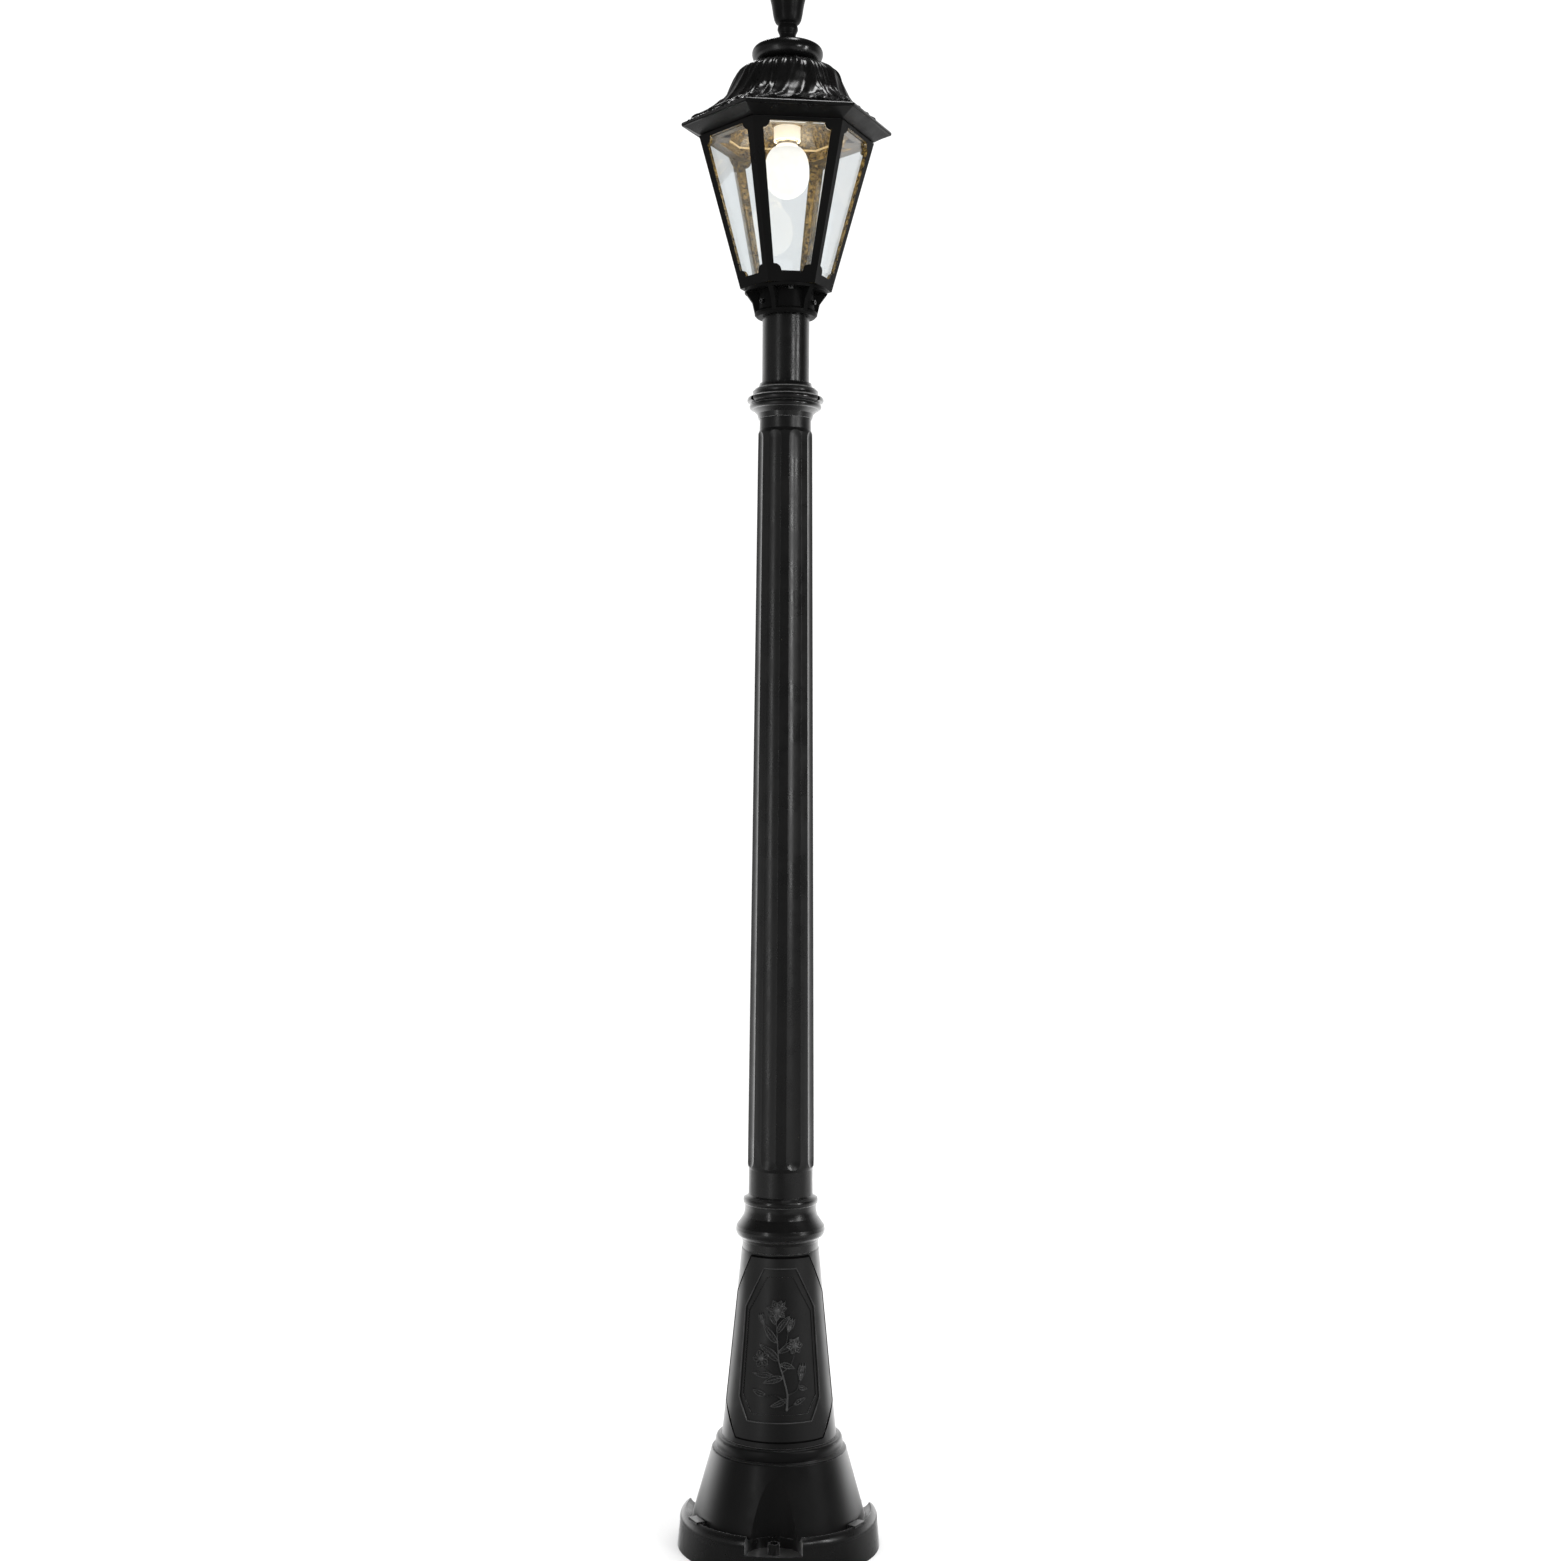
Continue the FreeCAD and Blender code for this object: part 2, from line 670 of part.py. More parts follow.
def make_lantern_floor():
    """Plate whose raised rim stands inside the panes' lower edges."""
    low = frame_floor_t
    top = low + floor_t + floor_rim_h
    plate = frame_layer(frame_wall + fit_gap, low, low + floor_t)
    rim = frame_layer(frame_wall + pane_t + seat_gap, low + floor_t, top)
    rim = rim.cut(frame_layer(frame_wall + pane_t + seat_gap + spigot_t, low + floor_t, top))
    body = plate.fuse(rim).cut(rod(grommet_lip_r + seat_gap, frame_h, frame_z))
    body = body.cut(around(frame_screw_hole(), grub_count))
    return turned(body.removeSplitter(), lantern_yaw)


def make_terminal_block():
    z = frame_z + frame_floor_t + floor_t
    body = block(block_l, block_w, block_h, 0, block_y, z)
    pitch = block_l / block_ways
    for i in range(block_ways):
        x = (i - (block_ways - 1) / 2) * pitch
        body = body.cut(rod(block_screw_r, block_h / 2, z + block_h / 2, x, block_y))
        mouth = vec(x, block_y - block_w / 2, z + block_h / 3)
        body = body.cut(Part.makeCylinder(block_screw_r * 0.8, block_w, mouth, vec(0, 1, 0)))
    return turned(body, lantern_yaw)


# Lamp bracket, stud and holder


def strap_screw_hole(height, z):
    return rod(strap_screw_r, height, z, strap_reach_r - strap_foot_l / 2, 0)


def make_lamp_bracket():
    """Arched strap: a flat foot at each end, two slopes and a flat top."""
    foot_in = strap_reach_r - strap_foot_l
    centre = [(strap_reach_r, frame_top_z), (foot_in, frame_top_z), (strap_top_half, strap_z),
              (-strap_top_half, strap_z), (-foot_in, frame_top_z), (-strap_reach_r, frame_top_z)]
    slope = math.atan2(strap_rise, foot_in - strap_top_half)
    shift = strap_t * math.tan(slope / 2)
    upper = [(strap_reach_r, frame_top_z + strap_t), (foot_in + shift, frame_top_z + strap_t),
             (strap_top_half + shift, strap_z + strap_t), (-strap_top_half - shift, strap_z + strap_t),
             (-foot_in - shift, frame_top_z + strap_t), (-strap_reach_r, frame_top_z + strap_t)]
    points = [vec(x, -strap_w / 2, z) for x, z in centre + upper[::-1]]
    body = Part.Face(Part.makePolygon(points + [points[0]])).extrude(vec(0, strap_w, 0))
    body = body.cut(rod(stud_r + fit_gap, strap_t, strap_z))
    body = body.cut(around(strap_screw_hole(strap_t, frame_top_z), 2))
    return turned(body, lantern_yaw)


def make_bracket_screws():
    x = strap_reach_r - strap_foot_l / 2
    shank = rod(strap_screw_r - fit_gap, frame_flange_t + strap_t, frame_top_z - frame_flange_t, x, 0)
    head = rod(strap_screw_r * 1.8, strap_screw_r, frame_top_z + strap_t, x, 0)
    return turned(Part.makeCompound(around(shank.fuse(head).removeSplitter(), 2)), lantern_yaw)


def make_roof_stud():
    return ring(stud_r, stud_bore_r, finial_z + insert_h - holder_top_z, holder_top_z)


def make_stud_nuts():
    nuts = []
    for z in (strap_z - nut_t, strap_z + strap_t):
        nut = Part.Face(hexagon(nut_r, z)).extrude(vec(0, 0, nut_t)).cut(rod(stud_r + fit_gap, nut_t, z))
        nuts.append(nut)
    return turned(Part.makeCompound(nuts), lantern_yaw)


def holder_ring_z():
    return holder_top_z - holder_cap_h - holder_ring_h


def make_holder_cap():
    z = holder_top_z - holder_cap_h
    inner_r = holder_r - holder_wall
    points = [(inner_r, z), (holder_r, z), (holder_r, z + holder_cap_h * 0.4),
              (holder_r * 0.95, z + holder_cap_h * 0.7, nut_r, holder_top_z),
              (stud_r + fit_gap, holder_top_z), (stud_r + fit_gap, holder_top_z - holder_wall),
              (nut_r - holder_wall, holder_top_z - holder_wall), (inner_r, z + holder_cap_h * 0.4)]
    return lathe(points)


def make_holder_ring():
    z = holder_ring_z()
    outer = holder_ring_r
    return lathe([(holder_r + fit_gap, z), (outer - holder_wall / 2, z),
                  (outer, z + holder_ring_h / 2, outer - holder_wall / 2, z + holder_ring_h),
                  (holder_r + fit_gap, z + holder_ring_h)])


def make_holder_body():
    z = holder_top_z - holder_cap_h - holder_h
    inner_r = holder_r - holder_wall
    body = ring(holder_r, inner_r, holder_h, z)
    return body.fuse(ring(inner_r, stud_r, holder_wall, z + holder_h - holder_wall)).removeSplitter()


def shell_z():
    return holder_top_z - holder_cap_h - holder_wall - shell_h


def make_screw_shell():
    wall = ring(shell_r, shell_r - shell_wall, shell_h, shell_z())
    lid_z = shell_z() + shell_h - shell_wall
    return wall.fuse(ring(shell_r, contact_w, shell_wall, lid_z)).removeSplitter()


def bulb_top_z():
    return shell_z() + shell_h - shell_wall - contact_t * 3


def make_holder_contact():
    """Spring strip in the holder: a flat bent down to the bulb's contact."""
    top = shell_z() + shell_h
    low = bulb_top_z() + seat_gap
    half = contact_w / 2
    points = [vec(-half, -half / 2, top), vec(-half, -half / 2, top - contact_t),
              vec(half - contact_t * 2, -half / 2, low), vec(half, -half / 2, low),
              vec(half, -half / 2, low + contact_t), vec(-half + contact_t, -half / 2, top)]
    return Part.Face(Part.makePolygon(points + [points[0]])).extrude(vec(0, half, 0))


# Bulb


def make_bulb_glass():
    z = bulb_top_z() - bulb_l
    glass = scaled(bulb_shares, bulb_r, bulb_l, z)
    cap_foot_z = bulb_cap_z()
    return lathe(glass + [(bulb_cap_r, cap_foot_z), (0, cap_foot_z)])


def bulb_cap_z():
    return bulb_top_z() - bulb_contact_h - bulb_insulator_h - bulb_cap_h


def make_bulb_cap():
    z = bulb_cap_z()
    return lathe([(0, z), (bulb_cap_r, z), (bulb_cap_r, z + bulb_cap_h * 0.8),
                  (bulb_cap_r * 0.8, z + bulb_cap_h), (0, z + bulb_cap_h)])


def make_bulb_insulator():
    z = bulb_cap_z() + bulb_cap_h
    return lathe([(0, z), (bulb_cap_r * 0.8, z), (bulb_contact_r, z + bulb_insulator_h),
                  (0, z + bulb_insulator_h)])


def make_bulb_contact():
    z = bulb_cap_z() + bulb_cap_h + bulb_insulator_h
    return lathe([(0, z), (bulb_contact_r, z), (bulb_contact_r * 0.7, z + bulb_contact_h),
                  (0, z + bulb_contact_h)])


# Roof


def make_roof_seal():
    outer_r = frame_top_r - frame_wall
    body = hex_loft(outer_r, outer_r, frame_top_z, seal_t)
    return turned(body.cut(hex_loft(mouth_r, mouth_r, frame_top_z, seal_t)), lantern_yaw)


def dome_points(offset):
    low = brim_z + dome_foot_z - offset / 2
    height = dome_h - offset / 2
    return [(share_r * dome_foot_r - offset, low + share_z * height) for share_r, share_z in dome_shares]


def dome(offset, low):
    """Bell-shaped dome: a spline through the outline's points, turned about the axis."""
    points = [vec(r, 0, z) for r, z in dome_points(offset)]
    curve = Part.BSplineCurve()
    curve.interpolate(points)
    foot = vec(points[0].x, 0, low)
    top = vec(0, 0, points[-1].z)
    lines = [Part.LineSegment(points[-1], top).toShape(), Part.LineSegment(top, vec(0, 0, low)).toShape(),
             Part.LineSegment(vec(0, 0, low), foot).toShape(), Part.LineSegment(foot, points[0]).toShape()]
    return Part.Face(Part.Wire([curve.toShape()] + lines)).revolve(ORIGIN, UP, 360)


def make_roof_shell():
    edge_z = brim_z + brim_edge_h
    slope_foot_r = brim_r - brim_edge_h / 2
    outer = hex_loft(frame_top_r, brim_r, roof_z, brim_drop_h)
    outer = outer.fuse([hex_loft(brim_r, slope_foot_r, brim_z, brim_edge_h),
                        hex_loft(slope_foot_r, brim_slope_r, edge_z, brim_slope_h),
                        dome(0, edge_z)])
    slope_in_r = brim_slope_r - roof_wall / hex_share
    inner = hex_loft(mouth_r, mouth_r, roof_z, brim_drop_h)
    inner = inner.fuse([hex_loft(mouth_r, slope_in_r, brim_z, brim_edge_h + brim_slope_h - roof_wall),
                        dome(roof_wall, brim_z + brim_drop_h)])
    body = outer.cut(inner).cut(rod(stud_r + seat_gap, roof_wall + cut_over * 2, roof_top_z - roof_wall * 2))
    return turned(body.removeSplitter(), lantern_yaw)


def make_cap_disc():
    outer = scaled(cap_shares, cap_r, cap_h, cap_z)
    bore_r = stud_r + seat_gap
    body = lathe([(bore_r, cap_z)] + outer + [(bore_r, cap_z + cap_h)])
    hollow = ring(cap_r * 0.7, cap_r * 0.3, cap_h * 0.6, cap_z)
    return body.cut(hollow)


def make_finial_washer():
    return ring(washer_r, stud_r + seat_gap, washer_t, washer_z)


def make_finial():
    body = lathe([(0, finial_z)] + scaled(finial_shares, finial_r, finial_h, finial_z))
    return body.cut(rod(insert_r + fit_gap, insert_h + seat_gap, finial_z))


def make_finial_insert():
    return ring(insert_r, stud_r + seat_gap, insert_h, finial_z)


def node_makers():
    """Node names with the functions that make them."""
    return {
        "foot_flange": make_foot_flange,
        "anchor_bushes": make_anchor_bushes,
        "base_skirt": make_base_skirt,
        "pedestal_shell": make_pedestal_shell,
        "lower_collar": make_lower_collar,
        "fluted_shaft": make_fluted_shaft,
        "upper_collar": make_upper_collar,
        "collar_screws": make_collar_screws,
        "inner_tube": make_inner_tube,
        "tube_flange": make_tube_flange,
        "flange_screws": make_flange_screws,
        "fitter_collar": make_fitter_collar,
        "fitter_screws": make_fitter_screws,
        "tube_grommet": make_tube_grommet,
        "frame_screws": make_frame_screws,
        "lantern_frame": make_lantern_frame,
        "lantern_floor": make_lantern_floor,
        "terminal_block": make_terminal_block,
        "lamp_bracket": make_lamp_bracket,
        "bracket_screws": make_bracket_screws,
        "roof_stud": make_roof_stud,
        "stud_nuts": make_stud_nuts,
        "holder_cap": make_holder_cap,
        "holder_ring": make_holder_ring,
        "holder_body": make_holder_body,
        "screw_shell": make_screw_shell,
        "holder_contact": make_holder_contact,
        "bulb_glass": make_bulb_glass,
        "bulb_cap": make_bulb_cap,
        "bulb_insulator": make_bulb_insulator,
        "bulb_contact": make_bulb_contact,
        "roof_seal": make_roof_seal,
        "roof_shell": make_roof_shell,
        "cap_disc": make_cap_disc,
        "finial_washer": make_finial_washer,
        "finial": make_finial,
        "finial_insert": make_finial_insert,
    }


def main():
    os.makedirs("parts", exist_ok=True)
    for name, maker in node_makers().items():
        maker().exportStep("parts/" + name + ".step")
    for number, pane in enumerate(make_panes(), 1):
        pane.exportStep("parts/pane_" + str(number) + ".step")


main()
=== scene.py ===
import math
import bpy
import bmesh
import numpy as np
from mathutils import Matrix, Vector


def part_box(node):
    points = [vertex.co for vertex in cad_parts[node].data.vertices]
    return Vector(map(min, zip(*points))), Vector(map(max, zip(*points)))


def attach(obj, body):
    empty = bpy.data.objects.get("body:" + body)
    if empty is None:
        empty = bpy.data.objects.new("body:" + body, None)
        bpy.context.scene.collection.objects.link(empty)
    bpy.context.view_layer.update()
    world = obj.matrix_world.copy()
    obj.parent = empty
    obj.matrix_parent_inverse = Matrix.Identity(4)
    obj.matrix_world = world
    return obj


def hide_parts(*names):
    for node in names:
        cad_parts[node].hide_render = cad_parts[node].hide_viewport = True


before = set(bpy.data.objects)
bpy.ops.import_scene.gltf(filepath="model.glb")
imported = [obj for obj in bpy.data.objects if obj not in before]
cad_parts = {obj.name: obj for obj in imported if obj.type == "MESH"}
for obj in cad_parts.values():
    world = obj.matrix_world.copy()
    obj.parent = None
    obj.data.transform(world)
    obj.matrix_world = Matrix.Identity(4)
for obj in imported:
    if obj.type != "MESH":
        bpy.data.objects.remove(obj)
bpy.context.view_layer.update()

# Looks of a garden lamp post with a six-sided lantern.
# Lengths are in metres, in the CAD frame: the post's axis is Z and the front faces -Y.

MM = 0.001
SIDES = 6
LANTERN_YAW = math.radians(7.5)

# Camera
CAMERA_PLACE = (-0.004, -2.803, 0.975)
CAMERA_ROLL = math.radians(0.35)
SENSOR_WIDTH = 36.0
LENS = 50.506

# Area lights: place, target, width, height and watts
LIGHTS = {
    "strip_right": ((2.19, -1.21, 1.45), (0, 0, 1.2), 0.20, 1.3, 18),
    "key_right": ((1.55, -2.0, 1.85), (0, 0, 0.8), 0.35, 0.35, 8),
    "strip_left": ((-1.5, -2.0, 1.15), (0, 0, 1.05), 0.16, 1.9, 8),
    "top_wide": ((0.4, 0.1, 4.2), (0, 0, 1.4), 1.2, 0.5, 16),
    "top_back": ((-0.45, 2.3, 3.9), (0, 0, 1.4), 0.5, 0.5, 5),
}

# World and floor, as levels of white
WORLD_FILL = 1.12        # what all rays but gloss find
GLOSS_FRONT = 0.05       # what gloss finds in front of the post
GLOSS_BACK = 0.95        # and behind it
GLOSS_LEFT = 0.2         # added on the left
GLOSS_OVERHEAD = 0.08    # share of all this that is left overhead
FLOOR_NEAR = 0.10        # what gloss finds of the floor near the post
FLOOR_SIDE = 0.45        # at its sides
FLOOR_BACK = 0.95        # and behind it
FLOOR_R = 9.0
FLOOR_SINK = 0.0002      # keeps the floor clear of the foot

# The lit bulb
BULB_GLOW = 40.0         # what it gives the surfaces round it
BULB_SEEN = 1.12         # where it is looked at, straight or through a pane
BULB_MIRRORED = 2.4
NECK_GLOW = 0.75         # share of the glow that is left at the neck
NECK_FADE_H = 0.023      # height of the fade, below the lamp holder

# Paint: grey levels, and painted light: colours that stand in for the bulb's light on the lantern's inside
# and on the lamp holder
BLACK = 0.0036
BLACK_PALE = 0.0052
SPECK = 0.012
SPECK_SHARE = 0.3
RUBBED_HIGHLIGHT = 0.050           # the relief where it stands highest: wear, and a painted highlight on its raised lines
RUBBED_HIGHLIGHT_LEAST = 0.55      # share of the rubbing and painted highlight in its weaker patches
# Painted bulb light on the black inside of the lantern, its dim and its bright end
BULB_LIGHT_DIM = (0.006, 0.0040, 0.0010, 1)
BULB_LIGHT_BRIGHT = (0.145, 0.103, 0.034, 1)
LIT_COAT = 0.5
LAMP_CREAM = (1.0, 0.93, 0.78, 1)
HAZE_FULL = 0.86         # facing value from which the haze is full
ROUNDING_R = 0.0007      # of a painted casting's edges
BEVEL_SAMPLES = 4
DULL_METAL = 0.72        # share of a bare metal's colour in its dull patches

# Sockets of a Mix node that mixes colours
MIX_FIRST = 6
MIX_SECOND = 7
MIX_RESULT = 2

# Roof: the brim's and the dome's rings, bottom first
ROOF_STEPS = 864
ROOF_MOUTH_R = 0.1003
ROOF_SEAT_R = 0.113
MOUTH_LIP_R = 0.0008     # a lip round the top of the mouth's wall, painted pale for the bulb's light on it
MOUTH_LIP_H = 0.0008
BRIM_R = 0.1356
BRIM_LIP = 0.0012
BRIM_EDGE_H = 0.003
BRIM_DROP_H = 0.0115
BRIM_SLOPE_H = 0.029
BRIM_SLOPE_R = 0.086
HEM_R = 0.1262           # the leaves' hem at a corner of the roof
HEM_BEADS = 132
HEM_BEAD_R = 0.0012
HEM_FOOT_R = 0.0004
HEM_RISE = 0.0015
# Each row over the hem's foot: how far out, what a bead adds, the share of the rise, what a bead adds
HEM_ROWS = [(0.0, 0.0016, 0.4, 0.5), (-0.0012, 0.0, 0.7, 0.9), (-0.0030, 0.0, 0.9, 0.4)]
BRIM_BEVEL_R = 0.0013
BRIM_BEVEL_H = 0.0016
UNDER_BEND = 0.8         # where the underside bends, as a share of the way from the seat to the edge
SLOPE_CURVE = 2.2        # how the brim's slope steepens towards the dome
SLOPE_RINGS = 16
SLOPE_START = 0.14       # the first ring above the hem, as a share of the slope
SLOPE_SHARE = 0.26       # how much of a leaf's length lies on the brim's slope
HEM_TILT = 30            # degrees from flat, of the leaves' ground
DOME_TILT = 55
SHOULDER_TILT = 80
DOME_RINGS = 70
DOME_SIDED = 0.4         # the rings follow the six-sided slope less and less, up to this share
DOME_INNER_STEP = 6      # one ring inside for so many outside
DOME_SINK = 0.0025       # how far the leaves' ground lies inside the dome's outline
DOME_WALL = 0.004
DOME_OUTLINE = [(0.0935, 0.0), (0.0905, 0.05), (0.0868, 0.145), (0.083, 0.235), (0.0798, 0.32),
                (0.0774, 0.4), (0.0751, 0.478), (0.0728, 0.555), (0.0706, 0.633), (0.0681, 0.711),
                (0.0645, 0.788), (0.0583, 0.867), (0.0505, 0.93), (0.044, 0.975), (0.040, 1.0)]
STUD_HOLE_R = 0.0053
UNDER_SLOT, MOUTH_SLOT, LIP_SLOT = 1, 2, 3        # the roof's materials after the leaves' own

# The roof's leaves: heights in mm, widths and places in degrees round the roof
LEAVES_END = 0.985       # share of the leaves' length from which they run out under the cap
LEAF_HALF = 20.5         # half a broad leaf, one on each side of the roof
LEAF_FLARE = 3.0
LEAF_WAIST = 2.2
LEAF_H = 1.4
LEAF_CROWN_H = 0.9
VEIN_H = 0.3
VEIN_PLACE = 9.0
VEIN_LEAN = 5.0
VEIN_WIDTH = 0.6
CORNER_H = 0.4           # the narrow leaves behind, at the corners
SPINE_H = 1.6
SPINE_WIDTH = 2.6
RIB_H = 1.1
RIB_PLACE = 6.2
RIB_WIDTH = 1.2
FOLDS = 24
FOLD_LEAN = 22
FOLD_SWAY = 3
FOLD_H = 1.3
FOLD_HEM_H = 1.9
WAVE_WIDTH = 4.4
WAVE_TURNS = 2.2
WAVE_H = 1.3
GATHERS = 42
GATHER_LEAN = 420
GATHER_SWAY = 40
GATHER_H = 1.4

# Cap and finial: radius and height as shares of the CAD piece's box
CAP_OUTLINE = [(0.3, 0.0), (0.66, 0.0), (0.72, 0.005), (0.82, 0.045), (0.92, 0.14), (0.99, 0.28),
               (1.02, 0.46), (1.005, 0.63), (0.93, 0.79), (0.77, 0.91), (0.56, 0.965), (0.3, 0.995),
               (0.24, 1.0), (0.12, 1.0)]
FINIAL_OUTLINE = [(0.22, 0.0), (0.42, 0.0), (0.43, 0.03), (0.43, 0.085), (0.47, 0.11), (0.53, 0.145),
                  (0.535, 0.165), (0.52, 0.19), (0.5, 0.215), (0.57, 0.232), (0.635, 0.248),
                  (0.71, 0.288), (0.77, 0.353), (0.81, 0.418), (0.855, 0.484), (0.915, 0.549),
                  (0.975, 0.62), (0.99, 0.645), (0.985, 0.665), (0.94, 0.68), (0.81, 0.69),
                  (0.79, 0.71), (0.73, 0.755), (0.6, 0.82), (0.48, 0.865), (0.3, 0.93),
                  (0.21, 0.965), (0.1, 0.99), (0.0, 1.0)]
FINIAL_BORE_SHARE = 0.99        # the stud's bore, as a share of the outline's first radius

# Pedestal
PEDESTAL_FOOT_Z = 0.141
PEDESTAL_H = 0.237
PEDESTAL_FOOT_R = 0.073
PEDESTAL_TOP_R = 0.0493

# Its panels: half widths as shares of a quarter turn, heights as shares of the pedestal's
FIELD_SHARES = [(0.33, 0.175), (0.46, 0.265), (0.46, 0.7), (0.19, 0.885)]
OUTER_SHARES = [(0.53, 0.035), (0.81, 0.2), (0.79, 0.78), (0.5, 0.985)]
INNER_SHARES = [(0.38, 0.135), (0.52, 0.25), (0.53, 0.72), (0.25, 0.93)]
PANEL_PROUD = 0.0022
LINE_STEPS = 24          # points along each side of a panel's outline
LINE_WEAR_HIGHLIGHT = 0.7          # how far a line is rubbed and painted as highlight
# A line across: places as shares of its width, heights as shares of its own
LINE_PROFILE = [(-0.5, 0.55), (-0.3, 0.9), (0.0, 1.0), (0.3, 0.9), (0.5, 0.55)]

# Relief in a panel's field
FIELD_PROUD = 0.0002     # the relief's ground, over the pedestal's cone
RELIEF_STEP = 0.0006
RELIEF_SUNK = 0.0006
RELIEF_GAIN = 1.35
RELIEF_PEAK = 2.2        # mm before the gain
RELIEF_WEAR_HIGHLIGHT = "wear_highlight"     # the attribute that says how far a point is rubbed and painted as highlight

# One leaf of the relief: widths in mm, heights as shares of the leaf's own
RIM_INSET = 0.75
RIM_WIDTH = 0.7
RIM_SHARE = 0.95
MIDRIB_WIDTH = 0.6
MIDRIB_SHARE = 0.75
SIDE_VEIN_PITCH = 3.6
SIDE_VEIN_LEAN = 2.6
SIDE_VEIN_SHARE = 0.2
BOWL_SHARE = 0.38
LEAST_SHARE = 0.12

# An open flower of the relief
PETAL_FOOT_SHARE = 0.12  # of the flower's radius
PETAL_WIDTH_SHARE = 0.36        # where it has five petals
PETAL_LEAST = 0.6        # mm
EYE_SHARE = 0.27
EYE_RISE_SHARE = 1.1     # of the petals' height
EYE_FOOT = 0.5           # mm
SEED_H = 0.18
SEED_TURN = 4.5          # radians to a mm

# Angles over which an edge is hard
ROOF_SHARP = math.radians(38)
TURNED_SHARP = math.radians(50)


def smoothstep(low, high, value):
    share = np.clip((value - low) / (high - low), 0, 1)
    return share * share * (3 - 2 * share)


def spline_points(points, steps):
    """Points along a Catmull-Rom curve through the given ones."""
    known = np.array(points, float)
    padded = np.vstack([2 * known[0] - known[1], known, 2 * known[-1] - known[-2]])
    found = []
    for i in range(len(known) - 1):
        a, b, c, d = padded[i:i + 4]
        for step in range(steps):
            t = step / steps
            found.append(0.5 * (2 * b + (c - a) * t + (2 * a - 5 * b + 4 * c - d) * t * t +
                                (3 * b - a - 3 * c + d) * t * t * t))
    found.append(known[-1])
    return np.array(found)


def new_piece(name, mesh, body, material):
    piece = bpy.data.objects.new(name, mesh)
    bpy.context.scene.collection.objects.link(piece)
    mesh.materials.append(material)
    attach(piece, body)
    return piece


def shade(mesh, sharp_angle):
    """Smooth shading with hard edges where two faces meet at more than an angle."""
    shaded = bmesh.new()
    shaded.from_mesh(mesh)
    bmesh.ops.recalc_face_normals(shaded, faces=shaded.faces)
    for face in shaded.faces:
        face.smooth = True
    for edge in shaded.edges:
        edge.smooth = edge.is_manifold and edge.calc_face_angle(0) < sharp_angle
    shaded.to_mesh(mesh)
    shaded.free()


def weld(mesh):
    """Joins points that fall together, as at a pole."""
    welded = bmesh.new()
    welded.from_mesh(mesh)
    bmesh.ops.remove_doubles(welded, verts=welded.verts, dist=MM / 100)
    welded.to_mesh(mesh)
    welded.free()


def rings_mesh(name, rings, closed, sharp_angle):
    """Mesh through rings of points, each an array of the same length; a closed one meets its start."""
    count = len(rings[0])
    verts = np.vstack(rings)
    faces = []
    pairs = [(i, i + 1) for i in range(len(rings) - 1)]
    if closed:
        pairs.append((len(rings) - 1, 0))
    for low, high in pairs:
        for i in range(count):
            j = (i + 1) % count
            faces.append((low * count + i, low * count + j, high * count + j, high * count + i))
    mesh = bpy.data.meshes.new(name)
    mesh.from_pydata(verts.tolist(), [], faces)
    weld(mesh)
    shade(mesh, sharp_angle)
    return mesh


# Materials


class Nodes:
    """Adds nodes to a tree, which it clears first."""

    def __init__(self, tree):
        self.tree = tree
        self.tree.nodes.clear()

    def add(self, kind):
        return self.tree.nodes.new("ShaderNode" + kind)

    def wire(self, source, target):
        self.tree.links.new(source, target)

    def feed(self, value, target):
        """Links a socket or sets a plain value."""
        if isinstance(value, bpy.types.NodeSocket):
            self.wire(value, target)
        else:
            target.default_value = value

    def split(self, vector):
        node = self.add("SeparateXYZ")
        self.wire(vector, node.inputs["Vector"])
        return node.outputs["X"], node.outputs["Y"], node.outputs["Z"]

    def math(self, operation, first, second=0.0):
        node = self.add("Math")
        node.operation = operation
        self.feed(first, node.inputs[0])
        self.feed(second, node.inputs[1])
        return node.outputs[0]

    def times(self, first, second):
        return self.math("MULTIPLY", first, second)

    def span(self, value, low, high, to_low=0.0, to_high=1.0):
        """Maps a value from one span to another, smoothly and clamped."""
        node = self.add("MapRange")
        node.interpolation_type = "SMOOTHSTEP"
        self.feed(value, node.inputs["Value"])
        for name, number in (("From Min", low), ("From Max", high), ("To Min", to_low), ("To Max", to_high)):
            node.inputs[name].default_value = number
        return node.outputs["Result"]


